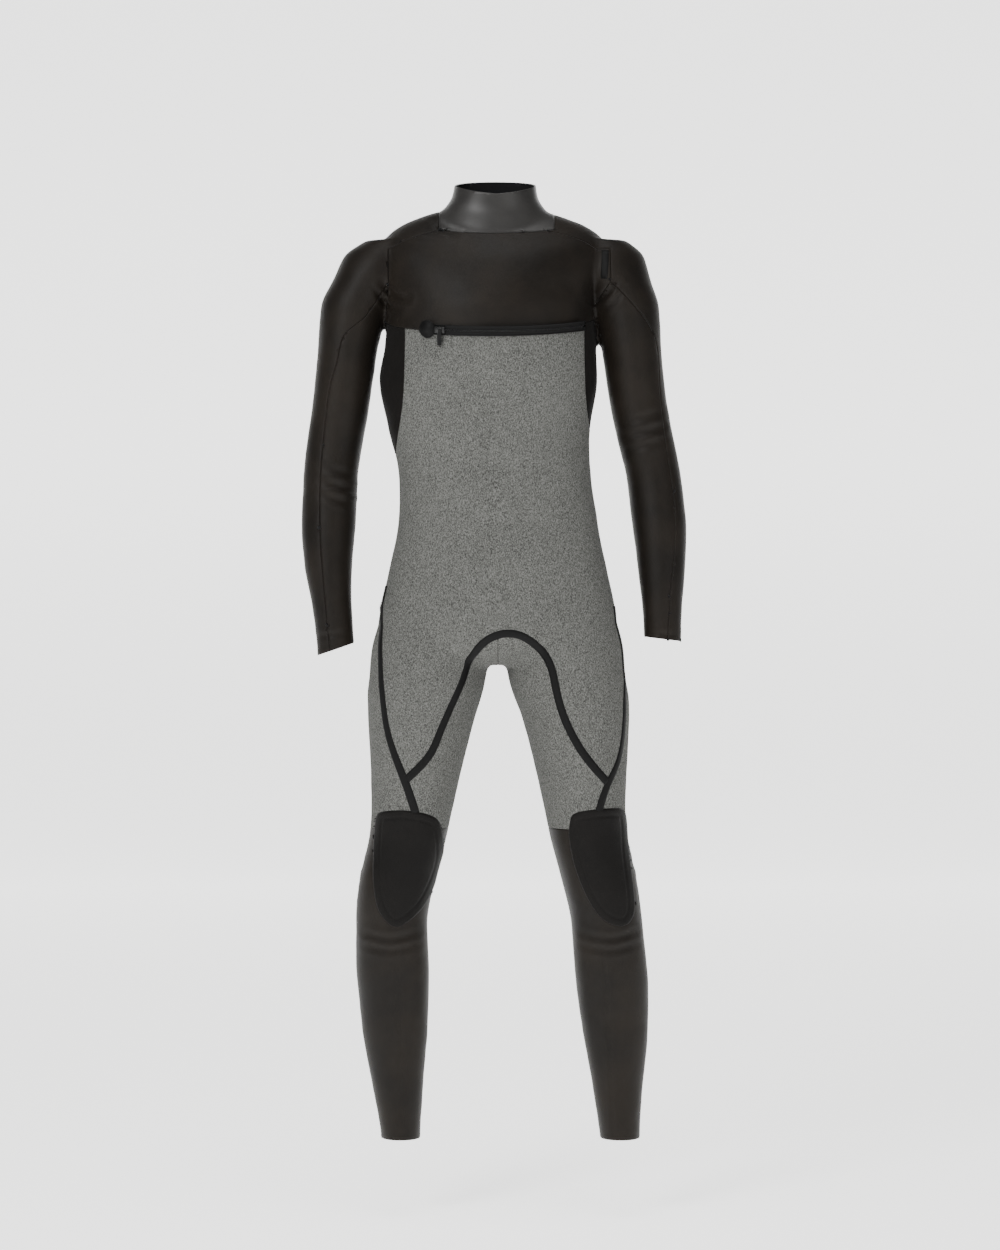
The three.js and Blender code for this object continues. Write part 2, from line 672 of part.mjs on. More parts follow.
// Tapes over the seams of the thighs and of the arch.
const archLine = [...archPoints("left", 12).reverse().slice(0, -1), ...archPoints("right", 12)];
const tapeFront = block(-wide, wide, -wide, sideSeamBack, padTop + tapeAbovePad, top);
const archTapeZone = prism(band(archLine, tapeWidth), -wide, 0, 0);
add("crotch_arch_tape", tapeBlack, surfaceTape.intersect(archTapeZone));
for (const side of ["left", "right"]) {
  const zone = prism(band(smooth(thighPoints(side), 12), tapeWidth), -wide, sideSeamBack, 0);
  const clear = prism(band(archLine, tapeWidth + 2 * surfaceClearance), -wide, sideSeamBack, 0);
  add(side + "_thigh_tape", tapeBlack,
    surfaceTape.intersect(zone).intersect(tapeFront).subtract(clear)
      .intersect(legHalves[side]));
}

// Water barrier behind the zip.
const bibSheet = bodyForm(torsoThickness + liningClearance)
  .subtract(bodyForm(torsoThickness + liningClearance + bibThickness));
const bibMiddle = -(zipDrop + bibBelowZip);
const bibZone = block(-wide, wide, -wide, -bibFront, bibMiddle - bibHalfHeight, bibMiddle + bibHalfHeight);
add("inner_bib", blackJersey,
  bibSheet.intersect(bibZone).subtract(grownArmZones.left).subtract(grownArmZones.right));

// Zip, in its own tilted frame: arcs about the frame's vertical axis, angles from the front.
const zip = new THREE.Group();
const zipCentreBack = zipRadius * Math.cos(zipTilt) - chestFront - zipStandOff;
zip.rotation.x = zipTilt;
zip.position.set(zipCentreX, zipCentreBack, -zipDrop + zipCentreBack * Math.tan(zipTilt));
root.add(zip);

/** A curved bar about the zip's axis, between two angles, radii and heights. */
function arcBar(from, to, r0, r1, z0, z1, steps = 20) {
  const angles = Array.from({ length: steps + 1 }, (_, i) => from + ((to - from) * i) / steps);
  const at = (r) => (a) => new THREE.Vector2(r * Math.sin(a), -r * Math.cos(a));
  const shape = new THREE.Shape([...angles.map(at(r1)), ...angles.reverse().map(at(r0))]);
  const bar = new THREE.ExtrudeGeometry(shape, { depth: z1 - z0, bevelEnabled: false });
  return solid(bar.translate(0, 0, z0));
}

/** Half a chain: a core with a tooth every pitch. */
function chain(sign) {
  const pitch = toothPitch / zipRadius;
  const count = Math.floor((zipEnd - zipStart) / pitch);
  const at = (r, a) => new THREE.Vector2(r * Math.sin(a), -r * Math.cos(a));
  const crown = [];
  for (let i = 0; i < count; i += 1) {
    const a = zipStart + (i + 0.5) * pitch;
    const core = zipRadius + tapeThickness * 0.6;
    const tip = zipRadius + toothDepth;
    crown.push(at(core, a - 0.3 * pitch), at(tip, a - 0.25 * pitch));
    crown.push(at(tip, a + 0.25 * pitch), at(core, a + 0.3 * pitch));
  }
  const back = Array.from({ length: count }, (_, i) => at(zipRadius, zipStart + (count - i - 0.5) * pitch));
  const low = sign > 0 ? chainGap / 2 : -chainGap / 2 - toothHeight;
  const bar = new THREE.ExtrudeGeometry(new THREE.Shape([...crown, ...back]), {
    depth: toothHeight,
    bevelEnabled: false,
  });
  return solid(bar.translate(0, 0, low));
}

const tapeOuter = zipRadius + tapeThickness;
add("zip_upper_tape", tapeBlack,
  arcBar(zipStart, zipEnd, zipRadius, tapeOuter, tapeStart, tapeStart + tapeHeight), zip);
add("zip_lower_tape", tapeBlack,
  arcBar(zipStart, zipEnd, zipRadius, tapeOuter, -tapeStart - tapeHeight, -tapeStart), zip);
add("zip_upper_chain", mouldedBlack, chain(1), zip);
add("zip_lower_chain", mouldedBlack, chain(-1), zip);

// Slider, parked at the closed end, with a lug that the pull tab hangs from.
const sliderAngle = zipStart + THREE.MathUtils.degToRad(6);
const sliderHalf = sliderLength / 2 / zipRadius;
const sliderInner = zipRadius + toothDepth + zipClearance;
const sliderOuter = sliderInner + sliderThickness;
const lugHeight = 2.4;
const lugDepth = 2.2;
const pullAxisHeight = 0.6;
const sliderPlate = arcBar(sliderAngle - sliderHalf, sliderAngle + sliderHalf, sliderInner, sliderOuter,
  -sliderHeight / 2, sliderHeight / 2, 4);
const lugBottom = pullAxisHeight + pullThickness / 2 + zipClearance;
const lug = arcBar(sliderAngle - sliderHalf / 2, sliderAngle + sliderHalf / 2, sliderOuter - 0.5,
  sliderOuter + lugDepth, lugBottom, lugBottom + lugHeight, 2);
add("zip_slider", mouldedBlack, sliderPlate.add(lug), zip);
const pull = new THREE.BoxGeometry(pullWidth, pullThickness, pullLength);
const pullRadius = sliderOuter + zipClearance + pullThickness / 2;
pull.translate(0, -pullRadius, pullAxisHeight - pullLength / 2).rotateZ(sliderAngle);
add("zip_pull_tab", mouldedBlack, solid(pull), zip);

// Round patch over the closed end.
const patchAngle = sliderAngle - sliderHalf - (patchRadius + 1) / zipRadius;
const patch = new THREE.CylinderGeometry(patchRadius, patchRadius, tapeThickness, 28);
patch.translate(0, -(zipRadius + toothDepth + zipClearance + tapeThickness / 2), 0).rotateZ(patchAngle);
add("zip_end_patch", tapeBlack, solid(patch), zip);

export default root;
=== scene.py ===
import json
import logging
import math
from dataclasses import dataclass, field
from enum import Enum
from typing import Callable, ClassVar, Iterable, Sequence

import bmesh
import bpy
import numpy as np
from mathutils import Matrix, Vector, noise
from mathutils.bvhtree import BVHTree


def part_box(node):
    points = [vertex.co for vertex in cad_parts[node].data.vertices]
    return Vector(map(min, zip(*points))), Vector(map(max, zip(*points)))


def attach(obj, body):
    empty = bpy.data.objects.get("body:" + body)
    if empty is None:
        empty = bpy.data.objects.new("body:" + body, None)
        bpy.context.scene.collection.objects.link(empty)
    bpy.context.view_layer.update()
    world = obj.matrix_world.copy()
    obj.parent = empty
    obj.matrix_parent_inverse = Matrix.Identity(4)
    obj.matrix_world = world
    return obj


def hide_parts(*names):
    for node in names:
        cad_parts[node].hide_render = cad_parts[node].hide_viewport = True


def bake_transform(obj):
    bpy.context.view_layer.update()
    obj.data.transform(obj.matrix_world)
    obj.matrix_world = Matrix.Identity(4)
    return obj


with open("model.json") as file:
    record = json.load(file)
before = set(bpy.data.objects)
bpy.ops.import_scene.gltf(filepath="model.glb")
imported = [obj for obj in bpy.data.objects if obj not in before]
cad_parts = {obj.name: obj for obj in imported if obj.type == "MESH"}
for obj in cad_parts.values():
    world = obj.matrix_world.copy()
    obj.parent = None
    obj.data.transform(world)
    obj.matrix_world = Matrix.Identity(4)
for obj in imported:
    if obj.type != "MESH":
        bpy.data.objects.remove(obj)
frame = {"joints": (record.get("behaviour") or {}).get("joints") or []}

LOG = logging.getLogger("wetsuit")
SUFFIX = "_visual"
FINISH_PREFIX = "look_"
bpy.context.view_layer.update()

FRONT_LIMIT = -0.010
FAR = 0.6
IN_FRONT = (-math.inf, FRONT_LIMIT)

Array = np.ndarray
Field = Callable[[Array], Array]
Point2 = tuple[float, float]


# ---- named options and sizes ----


class Side(Enum):
    """One side of the wearer."""

    LEFT = "left"
    RIGHT = "right"

    @property
    def sign(self) -> int:
        """Direction of this side along X."""
        return 1 if self is Side.LEFT else -1


class Body(Enum):
    """The bodies that pieces ride on."""

    SUIT = "suit"
    FLAP = "flap"
    SLIDER = "slider"
    PULL = "pull"


@dataclass(frozen=True)
class Ring:
    """One ring of a tube: a squared ellipse with its own depths before and behind its middle."""

    at: float
    wide: float
    front: float
    back: float
    x: float = 0.0
    y: float = 0.0
    power: float = 2.0


@dataclass(frozen=True)
class Landmarks:
    """Heights of the wearer's landmarks, read from the frame."""

    armpit: float
    waist: float
    crotch: float
    knee: float
    ankle: float
    elbow: float
    wrist: float
    knee_top: float
    knee_bottom: float
    elbow_top: float
    elbow_bottom: float
    waist_seam: float
    seat_seam: float

    @classmethod
    def from_frame(cls) -> "Landmarks":
        """Measure the landmarks on the CAD nodes.

        Returns:
            The heights in metres.
        """
        knee_low, knee_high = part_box("left_knee")
        elbow_low, elbow_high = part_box("left_elbow")
        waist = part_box("back_panel")[0][2]
        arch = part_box("crotch_arch_tape")[1][2]
        return cls(
            armpit=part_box("left_side_panel")[1][2] - 0.014,
            waist=waist,
            crotch=arch - 0.056,
            knee=(knee_low[2] + knee_high[2]) / 2,
            ankle=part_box("left_ankle_cuff")[0][2],
            elbow=(elbow_low[2] + elbow_high[2]) / 2,
            wrist=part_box("left_wrist_cuff")[0][2],
            knee_top=knee_high[2],
            knee_bottom=knee_low[2],
            elbow_top=elbow_high[2],
            elbow_bottom=elbow_low[2],
            waist_seam=waist,
            seat_seam=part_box("seat_panel")[0][2],
        )

    def body_height(self, at: Array) -> Array:
        """Height of a place: 0 shoulder, 1 armpit, 2 waist, 3 crotch, 4 knee, 5 ankle.

        Args:
            at: places on the body.

        Returns:
            Heights in metres, carried on straight past both ends.
        """
        heights = np.array([0.0, self.armpit, self.waist, self.crotch, self.knee, self.ankle])
        return _piecewise(np.asarray(at, float), heights)

    def arm_height(self, at: Array) -> Array:
        """Height of a place along an arm: 0 shoulder, 1 elbow, 2 wrist.

        Args:
            at: places along the arm.

        Returns:
            Heights in metres.
        """
        return _piecewise(np.asarray(at, float), np.array([0.0, self.elbow, self.wrist]))


def _piecewise(at: Array, heights: Array) -> Array:
    """Straight lines through heights at 0, 1, 2 ..., carried on past both ends."""
    low = np.clip(np.floor(at).astype(int), 0, len(heights) - 2)
    return heights[low] + (heights[low + 1] - heights[low]) * (at - low)


@dataclass(frozen=True)
class SuitSizes:
    """Sizes of the sheet, the seams and the trims, in metres."""

    voxel: float = 0.0042
    sheet: float = 0.0026
    groove: float = 0.0006
    groove_width: float = 0.0016
    tape_width: float = 0.0135
    side_seam: float = 0.030
    leg_middle: float = 0.002
    flap_radius: float = 0.134
    flap_left: float = 0.176
    flap_right: float = -0.168
    flap_middle: float = -0.003
    flap_neck_half: float = 0.045
    armhole: float = -0.069
    nape_back: float = 0.072
    nape_height: float = 0.058
    throat_front: float = -0.062
    throat_height: float = 0.006
    collar_front: float = 0.072
    collar_slope: float = math.radians(13)
    collar_half: float = 0.090
    dip: float = 0.007
    dip_half: float = 0.058
    zip_drop: float = -0.124
    zip_tilt: float = math.radians(13)
    zip_half: float = 0.003
    zip_slot: Point2 = (-0.110, 0.138)
    collar_foot: float = -0.010
    tongue_foot: float = -0.120
    yoke_foot: float = -0.075
    side_panel_below_waist: float = 0.100
    knee_line: float = 0.012

    def flap_edge(self, side: Side) -> float:
        """Place of the flap's edge, where a shoulder panel begins."""
        return self.flap_left if side is Side.LEFT else self.flap_right


@dataclass(frozen=True)
class Hem:
    """A sleeve's slanting end.

    Attributes:
        middle: x of its middle.
        slope: its rise for each metre across.
        above: height of its middle above the wrist.
    """

    middle: float
    slope: float
    above: float

    def height(self, co: Array, wrist: float) -> Array:
        """Height of places above the hem."""
        return co[:, 2] - (wrist + self.above) - self.slope * (co[:, 0] - self.middle)


SIZES = SuitSizes()
SLEEVE_HEMS = {Side.LEFT: Hem(0.258, -0.12, 0.010), Side.RIGHT: Hem(-0.251, 0.34, -0.006)}

TRUNK = (
    Ring(-0.40, 0.088, 0.044, 0.048, -0.007, 0.014, 2.2),
    Ring(-0.31, 0.119, 0.054, 0.058, -0.007, 0.014, 2.2),
    Ring(-0.20, 0.146, 0.062, 0.068, -0.006, 0.012, 2.2),
    Ring(-0.07, 0.166, 0.072, 0.080, -0.005, 0.010, 2.2),
    Ring(0.12, 0.178, 0.086, 0.094, -0.006, 0.006, 2.2),
    Ring(0.40, 0.172, 0.100, 0.104, -0.008, 0.002, 2.15),
    Ring(0.75, 0.164, 0.112, 0.109, -0.010, 0.0, 2.05),
    Ring(1.00, 0.161, 0.118, 0.111, -0.010, 0.0, 2.05),
    Ring(1.20, 0.164, 0.118, 0.111, -0.010, 0.0, 2.05),
    Ring(1.45, 0.170, 0.115, 0.108, -0.013, 0.0, 2.15),
    Ring(1.75, 0.158, 0.106, 0.099, -0.012, 0.0, 2.2),
    Ring(2.05, 0.150, 0.100, 0.094, -0.003, 0.0, 2.2),
    Ring(2.30, 0.156, 0.101, 0.099, 0.002, 0.0, 2.2),
    Ring(2.55, 0.172, 0.105, 0.112, 0.002, 0.0, 2.2),
    Ring(2.80, 0.186, 0.104, 0.120, 0.001, 0.0, 2.2),
    Ring(2.93, 0.180, 0.092, 0.108, 0.000, 0.002, 2.2),
    Ring(3.00, 0.120, 0.058, 0.070, -0.002, 0.004, 2.1),
)
NECK = (
    Ring(-1.24, 0.062, 0.060, 0.057, -0.001, -0.004),
    Ring(-1.00, 0.062, 0.060, 0.058, -0.002, -0.003),
    Ring(-0.60, 0.067, 0.060, 0.059, -0.003, 0.000),
    Ring(-0.40, 0.083, 0.062, 0.062, -0.004, 0.004),
    Ring(-0.22, 0.098, 0.068, 0.066, -0.005, 0.006),
    Ring(0.10, 0.102, 0.076, 0.070, -0.006, 0.006),
)
ARM = (
    Ring(0.00, 0.046, 0.038, 0.042),
    Ring(0.07, 0.057, 0.050, 0.054),
    Ring(0.17, 0.056, 0.056, 0.058),
    Ring(0.27, 0.054, 0.056, 0.057),
    Ring(0.38, 0.050, 0.055, 0.054),
    Ring(0.55, 0.046, 0.053, 0.050),
    Ring(0.75, 0.045, 0.049, 0.046),
    Ring(0.92, 0.044, 0.044, 0.044),
    Ring(1.08, 0.043, 0.044, 0.044),
    Ring(1.30, 0.043, 0.044, 0.042),
    Ring(1.55, 0.038, 0.039, 0.036),
    Ring(1.80, 0.031, 0.032, 0.029),
    Ring(2.00, 0.029, 0.029, 0.026),
    Ring(2.10, 0.029, 0.029, 0.026),
)
LEG = (
    Ring(2.75, 0.080, 0.080, 0.088),
    Ring(2.95, 0.092, 0.092, 0.104),
    Ring(3.10, 0.091, 0.095, 0.100),
    Ring(3.25, 0.084, 0.092, 0.092),
    Ring(3.53, 0.070, 0.084, 0.080),
    Ring(3.80, 0.061, 0.072, 0.066),
    Ring(4.03, 0.059, 0.066, 0.058),
    Ring(4.20, 0.056, 0.058, 0.062),
    Ring(4.37, 0.057, 0.054, 0.066),
    Ring(4.58, 0.052, 0.046, 0.060),
    Ring(4.82, 0.039, 0.038, 0.044),
    Ring(5.00, 0.031, 0.036, 0.038),
    Ring(5.06, 0.030, 0.036, 0.038),
)
ARM_LINE = {
    Side.LEFT: ((0, 0.158), (0.07, 0.173), (0.17, 0.184), (0.3, 0.201), (0.75, 0.222), (1.1, 0.246),
                (1.5, 0.256), (2.0, 0.258), (2.1, 0.258)),
    Side.RIGHT: ((0, -0.160), (0.07, -0.182), (0.17, -0.199), (0.3, -0.222), (0.75, -0.244),
                 (1.1, -0.260), (1.5, -0.263), (2.0, -0.251), (2.1, -0.250)),
}
LEG_LINE = {
    Side.LEFT: ((2.75, 0.104), (3, 0.107), (3.25, 0.123), (3.8, 0.142), (4.2, 0.172), (4.6, 0.185),
                (5.06, 0.194)),
    Side.RIGHT: ((2.75, -0.100), (3, -0.106), (3.25, -0.117), (3.8, -0.137), (4.2, -0.164),
                 (4.6, -0.159), (5.06, -0.149)),
}
ARM_DEPTH = ((0, 0.008), (1, 0.008), (2, -0.018), (2.1, -0.018))
LEG_DEPTH = ((2.75, 0.0), (4, 0.0), (4.5, 0.010), (5.06, 0.016))


# ---- outlines in front view ----


def smooth_line(points: Sequence[Point2], steps: int = 60) -> Array:
    """A smooth line through a few points.

    Args:
        points: the points, in order.
        steps: how many points the line gets.

    Returns:
        An array of points, evenly spread over the given points.
    """
    known = np.array(points, float)
    where = np.linspace(0, len(known) - 1, steps)
    low = np.clip(np.floor(where).astype(int), 0, len(known) - 2)
    t = (where - low)[:, None]
    before = known[np.clip(low - 1, 0, len(known) - 1)]
    after = known[np.clip(low + 2, 0, len(known) - 1)]
    a, b = known[low], known[low + 1]
    return 0.5 * (
        2 * a + (b - before) * t + (2 * before - 5 * a + 4 * b - after) * t**2
        + (3 * a - before - 3 * b + after) * t**3
    )


def polyline_distance(points: Array, line: Array) -> Array:
    """Distance from each point to a line of points, all in the plane.

    Args:
        points: n points.
        line: the line's points.

    Returns:
        n distances.
    """
    best = np.full(len(points), 1e9)
    for a, b in zip(line[:-1], line[1:]):
        along = b - a
        length = max(float(along @ along), 1e-12)
        t = np.clip(((points - a) @ along) / length, 0, 1)
        best = np.minimum(best, np.linalg.norm(points - a - t[:, None] * along, axis=1))
    return best


def outline_field(outline: Array) -> Field:
    """Signed distance to a closed front-view outline, below zero inside it.

    Args:
        outline: its points as (x, z).

    Returns:
        A field over points in space.
    """
    closed = np.vstack([outline, outline[:1]])

    def value(co: Array) -> Array:
        flat = co[:, (0, 2)]
        inside = np.zeros(len(flat), bool)
        for (x0, z0), (x1, z1) in zip(closed[:-1], closed[1:]):
            if z0 == z1:
                continue
            crosses = (flat[:, 1] < z0) != (flat[:, 1] < z1)
            at = x0 + (flat[:, 1] - z0) * (x1 - x0) / (z1 - z0)
            inside ^= crosses & (flat[:, 0] < at)
        distance = polyline_distance(flat, closed)
        return np.where(inside, -distance, distance)

    return value


def plane_field(point: Sequence[float], normal: Sequence[float]) -> Field:
    """Signed distance to a plane.

    Args:
        point: a point on it.
        normal: its normal, towards values above zero.

    Returns:
        A field over points in space.
    """
    origin = np.array(point, float)
    unit = np.array(normal, float) / np.linalg.norm(normal)
    return lambda co: (co - origin) @ unit


def level_field(height: float) -> Field:
    """Height above a level."""
    return plane_field((0, 0, height), (0, 0, 1))


def upright_field(place: float) -> Field:
    """Distance past an upright plane across the suit."""
    return plane_field((place, 0, 0), (1, 0, 0))


# ---- the body's form ----


@dataclass(frozen=True)
class Crease:
    """A soft fold in the sheet, along a line in front view."""

    line: tuple[Point2, ...]
    depth: float
    width: float
    behind: bool = False


@dataclass
class BodyForm:
    """The whole suit's outer surface as one mesh, made from tubes that are welded and smoothed.

    Attributes:
        marks: heights of the wearer's landmarks.
        sizes: the suit's sizes.
        around: how many faces a tube has around it.
        step: height of a tube's rows.
        smoothing: how often the welded surface is smoothed.
        fold_reach: how far from its line a fold is worked out.
        fold_fade: length over which a fold's ends fade.
        swells: heights and scales of the sheet's faint unevenness.
    """

    marks: Landmarks
    sizes: SuitSizes = SIZES
    around: int = 72
    step: float = 0.006
    smoothing: int = 6
    fold_reach: float = 0.03
    fold_fade: float = 0.02
    swells: tuple[Point2, ...] = ((0.0007, 14.0), (0.00035, 42.0))

    def build(self, creases: Iterable[Crease]) -> bmesh.types.BMesh:
        """Make the surface.

        Args:
            creases: folds pressed into it.

        Returns:
            The surface, closed, with faces outward.
        """
        tubes = bmesh.new()
        self._tube(tubes, TRUNK, self.marks.body_height)
        self._tube(tubes, NECK, self.marks.body_height)
        for side in Side:
            self._tube(tubes, ARM, self.marks.arm_height, ARM_LINE[side], ARM_DEPTH)
            self._tube(tubes, LEG, self.marks.body_height, LEG_LINE[side], LEG_DEPTH)
        mesh = bpy.data.meshes.new("form")
        tubes.to_mesh(mesh)
        tubes.free()
        welded = self._welded(mesh)
        surface = bmesh.new()
        surface.from_mesh(welded)
        for _ in range(self.smoothing):
            bmesh.ops.smooth_vert(surface, verts=surface.verts, factor=0.5,
                                  use_axis_x=True, use_axis_y=True, use_axis_z=True)
        self._press(surface, creases)
        return surface

    def _tube(self, bm: bmesh.types.BMesh, rings: Sequence[Ring], height: Callable[[Array], Array],
              line: Sequence[Point2] | None = None, depth: Sequence[Point2] | None = None) -> None:
        """Add one closed tube through smooth rings, from a grid that is rolled up."""
        places = np.array([ring.at for ring in rings])
        rows = max(8, int(abs(float(height(places[-1:])[0] - height(places[:1])[0])) / self.step))
        made = bmesh.ops.create_grid(bm, x_segments=self.around, y_segments=rows, size=1.0)
        verts = made["verts"]
        co = np.array([v.co[:] for v in verts])
        angle = (co[:, 0] + 1) * math.pi
        share = (co[:, 1] + 1) / 2
        at = places[0] + (places[-1] - places[0]) * share

        def get(name: str) -> Array:
            """One measure of the rings, all along the tube."""
            return _curve(places, np.array([getattr(ring, name) for ring in rings]), at)

        x = get("x") if line is None else _curve(*_columns(line), at)
        y = get("y") if depth is None else _curve(*_columns(depth), at)
        power = 2 / get("power")
        cos, sin = np.cos(angle), np.sin(angle)
        across = np.sign(cos) * np.abs(cos) ** power
        deep = -np.sign(sin) * np.abs(sin) ** power
        reach = np.where(deep < 0, get("front"), get("back"))
        place = np.stack([x + get("wide") * across, y + reach * deep, height(at)], axis=1)
        for vert, point in zip(verts, place):
            vert.co = point
        bmesh.ops.remove_doubles(bm, verts=verts, dist=1e-6)
        rims = [e for e in bm.edges if e.is_boundary]
        bmesh.ops.holes_fill(bm, edges=rims, sides=0)
        bmesh.ops.recalc_face_normals(bm, faces=bm.faces)

    def _welded(self, mesh: bpy.types.Mesh) -> bpy.types.Mesh:
        """Weld overlapping closed tubes into one even surface."""
        carrier = bpy.data.objects.new("form", mesh)
        bpy.context.scene.collection.objects.link(carrier)
        weld = carrier.modifiers.new("weld", "REMESH")
        weld.mode = "VOXEL"
        weld.voxel_size = self.sizes.voxel
        weld.adaptivity = 0.0
        graph = bpy.context.evaluated_depsgraph_get()
        made = bpy.data.meshes.new_from_object(carrier.evaluated_get(graph))
        bpy.data.objects.remove(carrier)
        bpy.data.meshes.remove(mesh)
        return made

    def _press(self, bm: bmesh.types.BMesh, creases: Iterable[Crease]) -> None:
        """Press folds and a faint unevenness into the surface along its normals."""
        bm.normal_update()
        co = np.array([v.co[:] for v in bm.verts])
        normals = np.array([v.normal[:] for v in bm.verts])
        shift = np.zeros(len(co))
        for crease in creases:
            line = smooth_line(crease.line, 24)
            low, high = line.min(axis=0) - self.fold_reach, line.max(axis=0) + self.fold_reach
            near = ((co[:, 0] > low[0]) & (co[:, 0] < high[0])
                    & (co[:, 2] > low[1]) & (co[:, 2] < high[1]))
            facing = normals[near, 1] * (1 if crease.behind else -1)
            flat = co[near][:, (0, 2)]
            distance = polyline_distance(flat, line)
            ends = np.minimum(np.linalg.norm(flat - line[0], axis=1), np.linalg.norm(flat - line[-1], axis=1))
            fade = np.clip(ends / self.fold_fade, 0, 1) * np.clip(facing * 3 + 0.4, 0, 1)
            valley = np.exp(-((distance / crease.width) ** 2))
            lip = 0.55 * np.exp(-(((distance - 1.9 * crease.width) / crease.width) ** 2))
            shift[near] -= crease.depth * (valley - lip) * fade
        for index in range(len(co)):
            point = Vector(co[index])
            shift[index] += sum(height * noise.noise(point * scale) for height, scale in self.swells)
        for vert, move, normal in zip(bm.verts, shift, normals):
            vert.co += Vector(normal * move)


def _columns(points: Sequence[Point2]) -> tuple[Array, Array]:
    """Split points into places and values."""
    table = np.array(points, float)
    return table[:, 0], table[:, 1]


def _curve(places: Array, values: Array, at: Array) -> Array:
    """A monotone cubic curve through values at places."""
    slope = np.diff(values) / np.diff(places)
    tangent = np.zeros(len(values))
    tangent[0], tangent[-1] = slope[0], slope[-1]
    same = slope[1:] * slope[:-1] > 0
    mean = np.zeros(len(slope) - 1)
    mean[same] = 2 * slope[1:][same] * slope[:-1][same] / (slope[1:][same] + slope[:-1][same])
    tangent[1:-1] = mean
    low = np.clip(np.searchsorted(places, at, side="right") - 1, 0, len(places) - 2)
    width = places[low + 1] - places[low]
    t = np.clip((at - places[low]) / width, 0, 1)
    a, b = values[low], values[low + 1]
    return (a * (2 * t**3 - 3 * t**2 + 1) + b * (3 * t**2 - 2 * t**3)
            + tangent[low] * width * (t**3 - 2 * t**2 + t) + tangent[low + 1] * width * (t**3 - t**2))


# ---- cutting the form into panels ----


@dataclass
class Cutter:
    """Cuts a surface along the zero lines of fields, so that panels get clean edges."""

    bm: bmesh.types.BMesh
    snap: float = 0.0012
    touch: float = 0.0003

    def __post_init__(self) -> None:
        """Give each vertex a mark that tells whether it already lies on a seam."""
        self.sewn = self.bm.verts.layers.int.new("sewn")

    def cut(self, value: Field, zone: Field | None = None) -> None:
        """Split the surface where a field is zero.

        Args:
            value: the field.
            zone: a mask of the places where the cut is wanted; everywhere if None.
        """
        bm = self.bm
        bm.verts.ensure_lookup_table()
        bm.verts.index_update()
        co = np.array([v.co[:] for v in bm.verts])
        wanted = np.ones(len(co), bool) if zone is None else zone(co)
        values = np.full(len(co), np.inf)
        values[wanted] = value(co[wanted])
        near = np.flatnonzero(np.abs(values) < self.snap)
        if len(near):
            values = self._snapped(near, co, values, value)
        crossing = []
        for index in np.flatnonzero((values < 0) & (values > -0.02)):
            vert = bm.verts[index]
            for edge in vert.link_edges:
                other = edge.other_vert(vert)
                far = values[other.index]
                if 0 < far < np.inf:
                    crossing.append((edge, vert, float(-values[index] / (far - values[index]))))
        on_line = [bm.verts[i] for i in near if values[i] == 0]
        for edge, start, share in crossing:
            on_line.append(bmesh.utils.edge_split(edge, start, share)[1])
        for vert in on_line:
            vert[self.sewn] = 1
        bmesh.ops.connect_verts(bm, verts=on_line, check_degenerate=False)

    def _snapped(self, near: Array, co: Array, values: Array, value: Field) -> Array:
        """Slide the vertices that almost lie on the line onto it, along the surface."""
        points = co[near]
        small = 1e-5
        gradient = np.stack(
            [(value(points + small * axis) - value(points - small * axis)) / (2 * small)
             for axis in np.eye(3)], axis=1)
        normals = np.array([self.bm.verts[i].normal[:] for i in near])
        tangent = gradient - (gradient * normals).sum(axis=1, keepdims=True) * normals
        square = (tangent**2).sum(axis=1)
        good = square > 0.05
        moved = points - tangent * (values[near] / np.maximum(square, 1e-9))[:, None]
        out = values.copy()
        for index, point, ok in zip(near, moved, good):
            vert = self.bm.verts[index]
            if vert[self.sewn]:
                if abs(out[index]) < self.touch:
                    out[index] = 0.0
            elif ok:
                vert.co = point
                out[index] = 0.0
        return out


